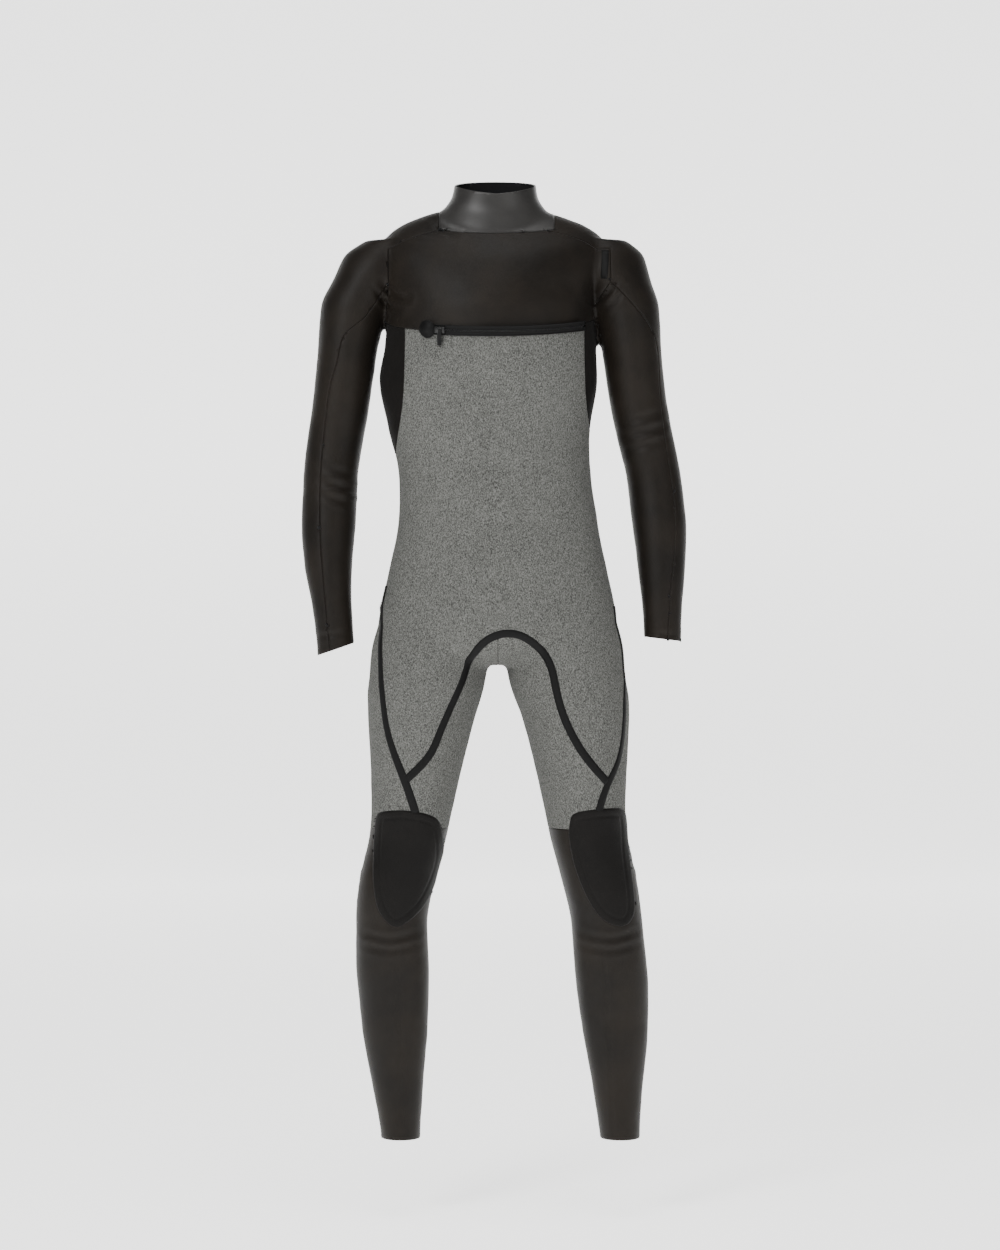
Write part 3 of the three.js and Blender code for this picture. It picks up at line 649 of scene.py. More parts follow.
@dataclass(frozen=True)
class Outlines:
    """The panels' outlines in front view, in metres."""

    marks: Landmarks
    sizes: SuitSizes = SIZES

    SLEEVE_SEAM = {
        Side.LEFT: ((0.28, 0.11), (0.39, 0.62), (0.5, 0.84), (0.72, 0.75), (1.0, 0.64), (1.25, 0.63),
                    (1.5, 0.50), (1.75, 0.34), (2.12, 0.15)),
        Side.RIGHT: ((0.35, -0.45), (0.44, 0.15), (0.56, 0.28), (0.7, 0.42), (1.0, 0.38), (1.3, 0.30),
                     (1.6, 0.25), (2.12, 0.2)),
    }
    FRONT_EDGE = ((0.9, 0.139), (1.3, 0.139), (1.6, 0.142), (1.85, 0.152), (2.1, 0.164), (2.45, 0.188))
    THIGH = {
        Side.LEFT: ((2.7, 0.196), (3.05, 0.198), (3.28, 0.197), (3.45, 0.189), (3.58, 0.169), (3.7, 0.157),
                    (3.86, 0.146)),
        Side.RIGHT: ((2.6, -0.180), (2.72, -0.179), (2.9, -0.180), (3.05, -0.179), (3.28, -0.171),
                     (3.42, -0.158), (3.56, -0.140), (3.7, -0.125), (3.86, -0.112)),
    }
    ARCH_TOP = (2.84, 0.016)
    ARCH_STEPS = 6
    ARCH = {
        Side.LEFT: ((2.865, 0.046), (2.94, 0.072), (3.01, 0.084), (3.13, 0.092), (3.23, 0.101), (3.34, 0.117),
                    (3.45, 0.140)),
        Side.RIGHT: ((2.875, -0.016), (2.96, -0.039), (3.08, -0.053), (3.19, -0.069), (3.31, -0.086),
                     (3.43, -0.103)),
    }
    MEETING = {Side.LEFT: (3.56, 0.171), Side.RIGHT: (3.55, -0.141)}

    def placed(self, line: Sequence[Point2]) -> list[Point2]:
        """Turn (place, x) into (x, z)."""
        return [(x, float(self.marks.body_height(np.array([at]))[0])) for at, x in line]

    def arm_point(self, side: Side, at: float, across: float) -> Point2:
        """A point across an arm: -1 is its inner edge and 1 its outer edge."""
        places = np.array([r.at for r in ARM])
        wide = float(np.interp(at, places, [r.wide for r in ARM]))
        middle = float(np.interp(at, *_columns(ARM_LINE[side])))
        return middle + side.sign * across * wide, float(self.marks.arm_height(np.array([at]))[0])

    def armpit_line(self, side: Side) -> list[Point2]:
        """The line that runs down between the trunk and an arm."""
        out = []
        for at in (0.31, 0.38, 0.5, 0.65, 0.9):
            inner, z = self.arm_point(side, at, -1)
            heights = self.marks.body_height(np.array([r.at for r in TRUNK]))
            edges = np.array([r.x + side.sign * r.wide for r in TRUNK])
            edge = float(np.interp(-z, -heights, edges))
            out.append(((inner + edge) / 2, z))
        return out

    def arm(self, side: Side) -> Array:
        """A whole arm, outside its armhole."""
        edge = self.sizes.flap_edge(side)
        low = self.marks.wrist - 0.08
        foot = self.arm_point(side, 2, -1)[0] - side.sign * 0.012
        points = [(edge, 0.2), (edge, self.sizes.armhole), *self.armpit_line(side), (foot, low),
                  (side.sign * 0.6, low), (side.sign * 0.6, 0.2)]
        return np.array(points)

    def sleeve(self, side: Side) -> Array:
        """The inner and front part of a sleeve, from the armpit to the wrist."""
        edge = self.sizes.flap_edge(side)
        seam = [self.arm_point(side, at, across) for at, across in self.SLEEVE_SEAM[side]]
        line = smooth_line([(edge, self.sizes.armhole), *seam], 60)
        low = self.arm_point(side, 2.12, -1.7)
        back = [(self.arm_point(side, 1, -1.7)), *self.armpit_line(side)[::-1]]
        return np.vstack([line, [low], back])

    def thigh_line(self, side: Side) -> Array:
        """The line of a thigh tape, from the hip to the knee."""
        return smooth_line(self.placed(self.THIGH[side]), 50)

    def arch_line(self, side: Side) -> Array:
        """Half of the arch over the crotch, from its top down to the thigh tape."""
        left = [self.MEETING[Side.LEFT], *self.ARCH[Side.LEFT][::-1]]
        right = [*self.ARCH[Side.RIGHT], self.MEETING[Side.RIGHT]]
        points = self.placed([*left, self.ARCH_TOP, *right])
        whole = smooth_line(points, (len(points) - 1) * self.ARCH_STEPS + 1)
        top = len(left) * self.ARCH_STEPS
        return whole[top::-1] if side is Side.LEFT else whole[top:]

    def front(self) -> Array:
        """The front panel."""
        halves = []
        for side in Side:
            edge = [(at, self.sizes.flap_middle + side.sign * x) for at, x in self.FRONT_EDGE]
            thigh = self.thigh_line(side)
            thigh = thigh[thigh[:, 1] > self.placed([self.MEETING[side]])[0][1]]
            outer = smooth_line(self.placed(edge), 24)
            halves.append(np.vstack([outer, thigh, self.arch_line(side)[::-1]]))
        return np.vstack([halves[0], halves[1][::-1][1:]])

    def outer_thigh(self, side: Side) -> Array:
        """One outer thigh, outside its tape."""
        line = self.thigh_line(side)
        low = self.marks.knee_top - 0.06
        return np.vstack([line, [(line[-1][0], low), (side.sign * FAR, low), (side.sign * FAR, line[0][1])]])

    def arch(self) -> Array:
        """Both inner thighs under the arch."""
        halves = []
        for side in Side:
            thigh = self.thigh_line(side)
            thigh = thigh[thigh[:, 1] < self.placed([self.MEETING[side]])[0][1] - 0.004]
            foot = [(thigh[-1][0], self.marks.knee_top - 0.06)]
            halves.append(np.vstack([self.arch_line(side), thigh, foot]))
        return np.vstack([halves[0], halves[1][::-1][:-1]])


# ---- finishes ----


@dataclass(frozen=True)
class Finish:
    """A procedural fabric or rubber surface.

    Attributes:
        name: the material's name.
        dark: colour of its low or shaded parts.
        light: colour of its high parts.
        rough: roughness.
        grain: size of its weave or emboss, in metres.
        relief: height of its bump.
        sheen: strength of its soft edge light.
        mottle: how much slow colour change it shows.
        mottle_size: size of that slow change, in metres.
        specular: strength of its shine.
    """

    name: str
    dark: tuple[float, float, float]
    light: tuple[float, float, float]
    rough: float = 0.7
    grain: float = 0.0016
    relief: float = 0.25
    sheen: float = 0.1
    mottle: float = 0.5
    mottle_size: float = 0.06
    specular: float = 0.35

    def material(self) -> bpy.types.Material:
        """Make the material.

        Returns:
            The material, with grain, slow unevenness and painted shade in the grain's low parts in its nodes.
        """
        mat = bpy.data.materials.new(FINISH_PREFIX + self.name)
        mat.use_nodes = True
        nodes, links = mat.node_tree.nodes, mat.node_tree.links
        shader = nodes["Principled BSDF"]
        shader.inputs["Specular IOR Level"].default_value = self.specular
        shader.inputs["Sheen Weight"].default_value = self.sheen
        shader.inputs["Sheen Roughness"].default_value = 0.45
        place = nodes.new("ShaderNodeTexCoord").outputs["Object"]
        grain = self._grain(nodes, links, place)
        slow = nodes.new("ShaderNodeTexNoise")
        slow.inputs["Scale"].default_value = 1 / self.mottle_size
        slow.inputs["Detail"].default_value = 4
        links.new(place, slow.inputs["Vector"])
        tint = self._blend(nodes, links, slow.outputs["Fac"], grain)
        colour = nodes.new("ShaderNodeMix")
        colour.data_type = "RGBA"
        colour.inputs["A"].default_value = (*self.dark, 1)
        colour.inputs["B"].default_value = (*self.light, 1)
        links.new(tint, colour.inputs["Factor"])
        links.new(colour.outputs["Result"], shader.inputs["Base Color"])
        rough = nodes.new("ShaderNodeMapRange")
        rough.inputs["To Min"].default_value = self.rough - 0.08
        rough.inputs["To Max"].default_value = self.rough + 0.08
        links.new(slow.outputs["Fac"], rough.inputs["Value"])
        links.new(rough.outputs["Result"], shader.inputs["Roughness"])
        bump = nodes.new("ShaderNodeBump")
        bump.inputs["Strength"].default_value = self.relief
        bump.inputs["Distance"].default_value = self.grain * 0.4
        links.new(grain, bump.inputs["Height"])
        links.new(bump.outputs["Normal"], shader.inputs["Normal"])
        return mat

    def _grain(self, nodes: bpy.types.Nodes, links: bpy.types.NodeLinks,
               place: bpy.types.NodeSocket) -> bpy.types.NodeSocket:
        """A fine mesh of cells at the size of the grain."""
        cells = nodes.new("ShaderNodeTexVoronoi")
        cells.inputs["Scale"].default_value = 1 / self.grain
        links.new(place, cells.inputs["Vector"])
        return cells.outputs["Distance"]

    def _blend(self, nodes: bpy.types.Nodes, links: bpy.types.NodeLinks, slow: bpy.types.NodeSocket,
               grain: bpy.types.NodeSocket) -> bpy.types.NodeSocket:
        """How far the colour lies between dark and light: slow unevenness, with painted shade that follows
        the grain's height.
        """
        stretch = nodes.new("ShaderNodeMapRange")
        stretch.inputs["From Min"].default_value = 0.35
        stretch.inputs["From Max"].default_value = 0.65
        stretch.inputs["To Min"].default_value = 0.5 - self.mottle / 2
        stretch.inputs["To Max"].default_value = 0.5 + self.mottle / 2
        links.new(slow, stretch.inputs["Value"])
        # Painted shade: 0.3 of the colour follows the grain's height, so the emboss's pits are darker and its
        # ridges lighter.
        mix = nodes.new("ShaderNodeMix")
        mix.inputs["Factor"].default_value = 0.3
        links.new(stretch.outputs["Result"], mix.inputs["A"])
        links.new(grain, mix.inputs["B"])
        return mix.outputs["Result"]


@dataclass(frozen=True)
class HeatherFinish(Finish):
    """Heathered jersey: light and dark yarns in short flecks."""

    fleck: float = 0.0011

    def _blend(self, nodes: bpy.types.Nodes, links: bpy.types.NodeLinks, slow: bpy.types.NodeSocket,
               grain: bpy.types.NodeSocket) -> bpy.types.NodeSocket:
        """Flecks over a slow unevenness."""
        place = nodes.new("ShaderNodeTexCoord").outputs["Object"]
        stretch = nodes.new("ShaderNodeMapping")
        stretch.inputs["Scale"].default_value = (1.0, 1.0, 0.6)
        links.new(place, stretch.inputs["Vector"])
        fleck = nodes.new("ShaderNodeTexNoise")
        fleck.inputs["Scale"].default_value = 0.75 / self.fleck
        fleck.inputs["Detail"].default_value = 3
        fleck.inputs["Roughness"].default_value = 0.75
        links.new(stretch.outputs["Vector"], fleck.inputs["Vector"])
        ramp = nodes.new("ShaderNodeValToRGB")
        ramp.color_ramp.elements[0].position = 0.36
        ramp.color_ramp.elements[1].position = 0.66
        links.new(fleck.outputs["Fac"], ramp.inputs["Fac"])
        mix = nodes.new("ShaderNodeMix")
        mix.inputs["Factor"].default_value = 0.15
        links.new(ramp.outputs["Color"], mix.inputs["A"])
        links.new(slow, mix.inputs["B"])
        return mix.outputs["Result"]


class Finishes(Enum):
    """The suit's surfaces."""

    MESH_SKIN = Finish(
        "mesh_skin", (0.0030, 0.0022, 0.0015), (0.0120, 0.0088, 0.0060),
        rough=0.52, grain=0.0012, relief=0.35, sheen=0.02, mottle=0.8, mottle_size=0.075, specular=0.16)
    HEATHER = HeatherFinish(
        "grey_heather", (0.012, 0.012, 0.011), (0.187, 0.189, 0.177),
        rough=0.92, grain=0.0009, relief=0.4, sheen=0.0, mottle=0.4, mottle_size=0.05, specular=0.08)
    JERSEY = Finish(
        "black_jersey", (0.0022, 0.0019, 0.0017), (0.0070, 0.0060, 0.0052),
        rough=0.85, grain=0.0009, relief=0.4, sheen=0.02, mottle=0.4, mottle_size=0.05, specular=0.10)
    SMOOTH = Finish(
        "smooth_skin", (0.013, 0.0124, 0.0118), (0.028, 0.0266, 0.0252),
        rough=0.42, grain=0.0008, relief=0.06, sheen=0.02, mottle=0.5, mottle_size=0.05, specular=0.32)
    TAPE = Finish(
        "surface_tape", (0.0012, 0.0012, 0.0012), (0.004, 0.004, 0.004),
        rough=0.60, grain=0.0007, relief=0.15, sheen=0.0, mottle=0.4, mottle_size=0.03, specular=0.14)
    PAD = Finish(
        "knee_print", (0.0026, 0.0022, 0.0020), (0.0070, 0.0062, 0.0055),
        rough=0.66, grain=0.0016, relief=0.5, sheen=0.02, mottle=0.5, mottle_size=0.05, specular=0.12)
    LINING = Finish(
        "lining_jersey", (0.004, 0.004, 0.0045), (0.012, 0.012, 0.013),
        rough=0.9, grain=0.001, relief=0.4, sheen=0.03, mottle=0.4, mottle_size=0.05, specular=0.15)
    MOULDED = Finish(
        "moulded_black", (0.002, 0.002, 0.002), (0.006, 0.006, 0.006),
        rough=0.34, grain=0.002, relief=0.05, sheen=0.0, mottle=0.3, mottle_size=0.02, specular=0.35)

    def get(self) -> bpy.types.Material:
        """The material, made once."""
        return bpy.data.materials.get(FINISH_PREFIX + self.value.name) or self.value.material()


# ---- shared steps ----


def keep_faces(bm: bmesh.types.BMesh, wanted: Iterable[bool]) -> None:
    """Delete all faces but the wanted ones.

    Args:
        bm: the mesh.
        wanted: for each face, whether it stays.
    """
    others = [face for face, stays in zip(bm.faces, wanted) if not stays]
    bmesh.ops.delete(bm, geom=others, context="FACES")


def face_centres(bm: bmesh.types.BMesh) -> Array:
    """The middle of each face."""
    return np.array([face.calc_center_median()[:] for face in bm.faces])


def thicken(piece: bpy.types.Object, name: str, thickness: float) -> bpy.types.Modifier:
    """Give a sheet its thickness, inward from its outer face.

    Args:
        piece: the sheet.
        name: a name for the step.
        thickness: the thickness in metres.

    Returns:
        The modifier that does it.
    """
    thick = piece.modifiers.new(name, "SOLIDIFY")
    thick.thickness = thickness
    thick.offset = -1
    return thick


# ---- panels ----


@dataclass
class Panel:
    """One cut panel: a set of faces of the form, given its thickness, groove and finish."""

    name: str
    finish: Finishes
    nodes: tuple[str, ...]
    body: str = Body.SUIT.value
    blend: tuple[str, str, Point2] | None = None

    def build(self, form: bmesh.types.BMesh, labels: Array, label: int, sizes: SuitSizes) -> bpy.types.Object:
        """Lift the panel's faces off the form and make the finished piece.

        Args:
            form: the whole surface.
            labels: a label for each face.
            label: this panel's label.
            sizes: the suit's sizes.

        Returns:
            The piece.
        """
        sheet = form.copy()
        sheet.faces.ensure_lookup_table()
        keep_faces(sheet, labels == label)
        self._groove(sheet, sizes)
        for face in sheet.faces:
            face.smooth = True
        mesh = bpy.data.meshes.new(self.name + SUFFIX)
        sheet.to_mesh(mesh)
        sheet.free()
        piece = bpy.data.objects.new(self.name + SUFFIX, mesh)
        bpy.context.scene.collection.objects.link(piece)
        mesh.materials.append(self.finish.get())
        mesh.materials.append(Finishes.LINING.get())
        thick = thicken(piece, "sheet", sizes.sheet)
        thick.material_offset = 1
        thick.use_even_offset = False
        self._attach(piece)
        return piece

    @staticmethod
    def _groove(sheet: bmesh.types.BMesh, sizes: SuitSizes) -> None:
        """Press the panel's edge in a little, where it is sewn to its neighbour."""
        sheet.normal_update()
        rim = [v for v in sheet.verts if v.is_boundary]
        normals = {v: v.normal.copy() for v in rim}
        bmesh.ops.inset_region(sheet, faces=sheet.faces[:], thickness=sizes.groove_width, use_boundary=True,
                               use_even_offset=False)
        for vert, normal in normals.items():
            if vert.is_valid:
                vert.co -= normal * sizes.groove

    def _attach(self, piece: bpy.types.Object) -> None:
        """Ride on the panel's body; a panel with a blend keeps its place in the object's frame."""
        if self.blend is None:
            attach(piece, self.body)
        else:
            a, b, (start, end) = self.blend
            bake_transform(piece)
        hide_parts(*self.nodes)


# ---- where the seams run ----


@dataclass(frozen=True)
class Zone:
    """A block of space, with None where a direction has no limit.

    Attributes:
        x: lowest and highest x.
        y: lowest and highest y.
        z: lowest and highest z.
        also: a further mask that a place has to meet.
    """

    x: Point2 | None = None
    y: Point2 | None = None
    z: Point2 | None = None
    also: Field | None = None

    def __call__(self, co: Array) -> Array:
        """Tell which places lie inside."""
        inside = np.ones(len(co), bool)
        for axis, limits in enumerate((self.x, self.y, self.z)):
            if limits is not None:
                inside &= (co[:, axis] >= limits[0]) & (co[:, axis] <= limits[1])
        return inside if self.also is None else inside & self.also(co)


@dataclass(frozen=True)
class CutReach:
    """How far each cut may run, in metres, so that it spares the parts beside it."""

    margin: float = 0.003
    past_side: float = 0.010
    neck: Point2 = (-0.10, 0.10)
    neck_heights: Point2 = (-0.03, 0.09)
    collar_top_from: float = 0.030
    collar_sides: Point2 = (-0.12, 0.12)
    collar_side_heights: Point2 = (-0.02, 0.08)
    near_ankle: float = 0.050
    near_wrist: float = 0.060
    near_knee: float = 0.050
    wrists_from: float = 0.205
    chest: Point2 = (-0.20, 0.20)
    flap_heights: Point2 = (-0.14, 0.05)
    flap_side_heights: Point2 = (-0.16, 0.05)
    zip_heights: Point2 = (-0.20, -0.06)
    tongue: Point2 = (-0.08, 0.08)
    tongue_heights: Point2 = (-0.10, 0.05)
    near_edge: float = 0.030
    edge_below_armhole: float = 0.005
    edge_top: float = 0.050
    front: Point2 = (-0.22, 0.22)
    front_heights: Point2 = (-0.88, -0.08)
    arch_top: float = -0.55
    crotch: Point2 = (-0.03, 0.03)
    crotch_heights: Point2 = (-0.76, -0.60)
    hips: Point2 = (-0.25, 0.25)
    shoulder_heights: Point2 = (0.0, 0.06)
    waist_heights: Point2 = (-0.45, -0.25)
    seat_heights: Point2 = (-0.80, -0.60)
    arm_from: float = 0.13
    arm_down_to: float = -0.43
    sleeve_from: float = 0.15
    sleeve_down_to: float = -0.73
    thigh_from: float = 0.05
    thigh_top: float = -0.50
    below_knee_top: float = 0.030


class Pattern:
    """The cutting pattern: the seams' fields, and the panel that each place belongs to."""

    def __init__(self, marks: Landmarks, sizes: SuitSizes) -> None:
        """Lay out the seams.

        Args:
            marks: heights of the wearer's landmarks.
            sizes: the suit's sizes.
        """
        self.marks, self.sizes, self.reach = marks, sizes, CutReach()
        self.outlines = Outlines(marks, sizes)
        nape = (0.0, sizes.nape_back, sizes.nape_height)
        rise = sizes.nape_height - sizes.throat_height
        run = sizes.nape_back - sizes.throat_front
        tilt = sizes.zip_tilt
        self.arm = {side: outline_field(self.outlines.arm(side)) for side in Side}
        self.sleeve = {side: outline_field(self.outlines.sleeve(side)) for side in Side}
        self.front = outline_field(self.outlines.front())
        self.arch = outline_field(self.outlines.arch())
        self.outer = {side: outline_field(self.outlines.outer_thigh(side)) for side in Side}
        self.collar_seam = plane_field(nape, (0, -rise, run))
        self.collar_plane = plane_field((0, sizes.throat_front, sizes.collar_front),
                                        (0, -math.sin(sizes.collar_slope), math.cos(sizes.collar_slope)))
        self.zip_line = plane_field((0, 0, sizes.zip_drop), (0, -math.sin(tilt), math.cos(tilt)))

    def sleeve_hem(self, co: Array) -> Array:
        """Height above a sleeve's end, which runs slantwise."""
        left, right = (SLEEVE_HEMS[side].height(co, self.marks.wrist) for side in Side)
        return np.where(co[:, 0] > 0, left, right)

    def collar_top(self, co: Array) -> Array:
        """Height above the collar's top edge, which dips at the throat."""
        dip = np.clip(1 - np.abs(co[:, 0]) / self.sizes.dip_half, 0, 1) ** 0.8
        return self.collar_plane(co) + self.sizes.dip * dip * (co[:, 1] < 0)

    def flap_top(self, co: Array) -> Array:
        """Distance outside the cylinder about the nape that the flap's top edge follows."""
        away = co[:, 1:] - np.array([self.sizes.nape_back, self.sizes.nape_height])
        return np.linalg.norm(away, axis=1) - self.sizes.flap_radius

    def seams(self) -> list[tuple[Field, Field]]:
        """The cuts, in the order in which they are made.

        Returns:
            Pairs: a field that is zero on the seam, and a mask of the places to cut.
        """
        sides = [cut for side in Side for cut in self._side_cuts(side)]
        return [*self._hem_cuts(), *self._chest_cuts(), *self._trunk_cuts(), *sides]

    def _below_collar(self, co: Array) -> Array:
        """Places below the collar's seam."""
        return (self.collar_seam(co) < self.reach.margin) | (np.abs(co[:, 0]) > self.sizes.collar_half)

    def _hem_cuts(self) -> list[tuple[Field, Field]]:
        """The collar's two edges, the ankle hems and the sleeve hems."""
        reach, ankle, wrist = self.reach, self.marks.ankle, self.marks.wrist
        return [
            (self.collar_top, Zone(z=(reach.collar_top_from, math.inf))),
            (self.collar_seam, Zone(reach.neck, None, reach.neck_heights)),
            (level_field(ankle), Zone(z=(-math.inf, ankle + reach.near_ankle))),
            (self.sleeve_hem, Zone(z=(wrist - reach.near_wrist, wrist + reach.near_wrist),
                                   also=lambda co: np.abs(co[:, 0]) > reach.wrists_from)),
        ]

    def _chest_cuts(self) -> list[tuple[Field, Field]]:
        """The flap's top edge, the zip's slot and the line where the flap meets the shoulders."""
        reach, half = self.reach, self.sizes.zip_half
        slot = Zone(reach.chest, (-math.inf, 0), reach.zip_heights)
        return [
            (self.flap_top, Zone(reach.chest, IN_FRONT, reach.flap_heights, self._below_collar)),
            (lambda co: self.zip_line(co) - half, slot),
            (lambda co: self.zip_line(co) + half, slot),
            (plane_field((0, FRONT_LIMIT, 0), (0, 1, 0)),
             Zone(reach.chest, None, reach.flap_side_heights, self._below_collar)),
        ]

    def _trunk_cuts(self) -> list[tuple[Field, Field]]:
        """The seams of the front, the arch, the back, the seat and the knees."""
        reach, marks, side = self.reach, self.marks, self.sizes.side_seam
        before = (-math.inf, side + reach.past_side)
        behind = (0, math.inf)
        knee = self.knee_line
        side_seam = plane_field((0, side, 0), (0, 1, 0))
        return [
            (self.front, Zone(reach.front, before, reach.front_heights)),
            (self.arch, Zone(reach.front, before, (marks.knee_top - reach.below_knee_top, reach.arch_top))),
            (upright_field(self.sizes.leg_middle), Zone(reach.crotch, None, reach.crotch_heights)),
            (side_seam, Zone(reach.hips, None, (-math.inf, 0))),
            (side_seam, Zone(reach.chest, None, reach.shoulder_heights, self._below_collar)),
            (level_field(marks.waist_seam), Zone(reach.chest, behind, reach.waist_heights)),
            (level_field(marks.seat_seam), Zone(reach.hips, behind, reach.seat_heights)),
            (level_field(knee), Zone(z=(knee - reach.near_knee, knee + reach.near_knee))),
        ]

    def _side_cuts(self, side: Side) -> list[tuple[Field, Field]]:
        """The seams of one arm and one thigh, and of one side of the flap and the collar."""
        sizes, reach = self.sizes, self.reach
        tongue = sizes.flap_middle + side.sign * sizes.flap_neck_half
        edge = sizes.flap_edge(side)
        thigh = Zone(None, (-math.inf, sizes.side_seam + reach.past_side),
                     (self.marks.knee_top - reach.below_knee_top, reach.thigh_top),
                     self._beside(side, reach.thigh_from))
        return [
            (self.arm[side], Zone(z=(reach.arm_down_to, math.inf), also=self._beside(side, reach.arm_from))),
            (self.sleeve[side],
             Zone(z=(reach.sleeve_down_to, math.inf), also=self._beside(side, reach.sleeve_from))),
            (self.outer[side], thigh),
            (upright_field(tongue),
             Zone(reach.tongue, IN_FRONT, reach.tongue_heights, self._below_collar)),
            (upright_field(side.sign * sizes.collar_half),
             Zone(reach.collar_sides, None, reach.collar_side_heights,
                  lambda co: self.collar_seam(co) > -reach.margin)),
            (upright_field(edge),
             Zone((edge - reach.near_edge, edge + reach.near_edge), None,
                  (sizes.armhole - reach.edge_below_armhole, reach.edge_top))),
        ]

    @property
    def knee_line(self) -> float:
        """Height where the grey thigh meets the dark lower leg."""
        return self.marks.knee_top - self.sizes.knee_line

    @staticmethod
    def _beside(side: Side, inner: float) -> Field:
        """A mask of one side, further out than a place."""
        return lambda co: side.sign * co[:, 0] > inner

    def label(self, co: Array, names: Sequence[str]) -> Array:
        """Tell which panel each place belongs to.

        Args:
            co: places on the surface.
            names: the panels' names.

        Returns:
            An index into the names for each place, or -1 where there is no panel.
        """
        sizes, marks = self.sizes, self.marks
        out = np.full(len(co), -1)
        free = np.ones(len(co), bool)

        def give(name: str | None, where: Array) -> None:
            chosen = free & where
            if name is not None:
                out[chosen] = names.index(name)
            free[chosen] = False

        x, y, z = co.T
        front, back = y < sizes.side_seam, y >= sizes.side_seam
        arms = {side: self.arm[side](co) < 0 for side in Side}
        in_arm = arms[Side.LEFT] | arms[Side.RIGHT]
        give(None, (self.collar_top(co) > 0) | (z < marks.ankle) | (in_arm & (self.sleeve_hem(co) < 0)))
        give("collar", (np.abs(x) < sizes.collar_half) & (z > sizes.collar_foot) & (self.collar_seam(co) > 0))
        for side in Side:
            sleeve = self.sleeve[side](co) < 0
            give(f"{side.value}_sleeve", arms[side] & sleeve)
            give(f"{side.value}_shoulder_panel", arms[side])
        above_zip = self.zip_line(co) > sizes.zip_half
        tongue = (np.abs(x - sizes.flap_middle) < sizes.flap_neck_half) & (z > sizes.tongue_foot)
        give("chest_flap", (y < FRONT_LIMIT) & above_zip & ((self.flap_top(co) > 0) | tongue))
        in_slot = (np.abs(self.zip_line(co)) < sizes.zip_half) & (y < FRONT_LIMIT)
        give(None, in_slot & (x > sizes.zip_slot[0]) & (x < sizes.zip_slot[1]))
        give("chest_flap", in_slot & (x < 0))
        yoke = front & (z > sizes.yoke_foot)
        give("left_shoulder_panel", yoke & (x > sizes.flap_middle))
        give("right_shoulder_panel", yoke)
        give("front_panel", front & (self.front(co) < 0))
        give("back_panel", back & (z > marks.waist_seam))
        give("seat_panel", back & (z > marks.seat_seam) & (z <= marks.waist_seam))
        low, waist = z < self.knee_line, marks.waist_seam
        for side in Side:
            here = side.sign * (x - sizes.leg_middle) > 0
            give(f"{side.value}_shin", low & front & here)
            give(f"{side.value}_calf", low & here)
            give(f"{side.value}_back_thigh", back & here)
            give(f"{side.value}_inner_thigh", front & here & (self.arch(co) < 0))
            give(f"{side.value}_side_panel", front & here & (z > waist - sizes.side_panel_below_waist))
            give(f"{side.value}_outer_thigh", front & here)
        return out


def settled(form: bmesh.types.BMesh, labels: Array) -> Array:
    """Give each stray sliver the label of the faces around it.

    Args:
        form: the surface.
        labels: a label for each face.

    Returns:
        The labels, with no face that stands alone.
    """
    form.faces.ensure_lookup_table()
    form.faces.index_update()
    labels = labels.copy()
    for _ in range(2):
        before = labels.copy()
        for face in form.faces:
            own = before[face.index]
            near = [before[other.index] for edge in face.edges
                    for other in edge.link_faces if other is not face]
            if near.count(own) * 3 < len(near):
                labels[face.index] = max(sorted(set(near)), key=near.count)
    return labels


# ---- trims over the seams ----


@dataclass
class Surface:
    """The finished form, for laying trims on."""

    bm: bmesh.types.BMesh
    tree: BVHTree = field(init=False)

    def __post_init__(self) -> None:
        """Index the surface."""
        self.tree = BVHTree.FromBMesh(self.bm)

    def seen_from_front(self, x: float, z: float) -> tuple[Vector, Vector]:
        """The place and normal that a look from the front meets.

        Args:
            x: place across.
            z: height.

        Returns:
            The place and its outward normal.
        """
        hit, normal, _, _ = self.tree.ray_cast(Vector((x, -1, z)), Vector((0, 1, 0)))
        if hit is None or normal.y > -0.3:
            hit, normal, _, _ = self.tree.find_nearest(Vector((x, -0.02, z)))
        return hit, normal

    def nearest(self, point: Vector) -> tuple[Vector, Vector]:
        """The nearest place on the surface and its normal."""
        hit, normal, _, _ = self.tree.find_nearest(point)
        return hit, normal


def new_piece(name: str, bm: bmesh.types.BMesh, finish: Finishes, smooth: bool = True) -> bpy.types.Object:
    """Turn a mesh into a named piece.

    Args:
        name: its name.
        bm: its mesh, which is freed.
        finish: its finish.
        smooth: whether its faces are shaded smooth.

    Returns:
        The piece.
    """
    for face in bm.faces:
        face.smooth = smooth
    mesh = bpy.data.meshes.new(name + SUFFIX)
    bm.to_mesh(mesh)
    bm.free()
    mesh.materials.append(finish.get())
    piece = bpy.data.objects.new(name + SUFFIX, mesh)
    bpy.context.scene.collection.objects.link(piece)
    return piece


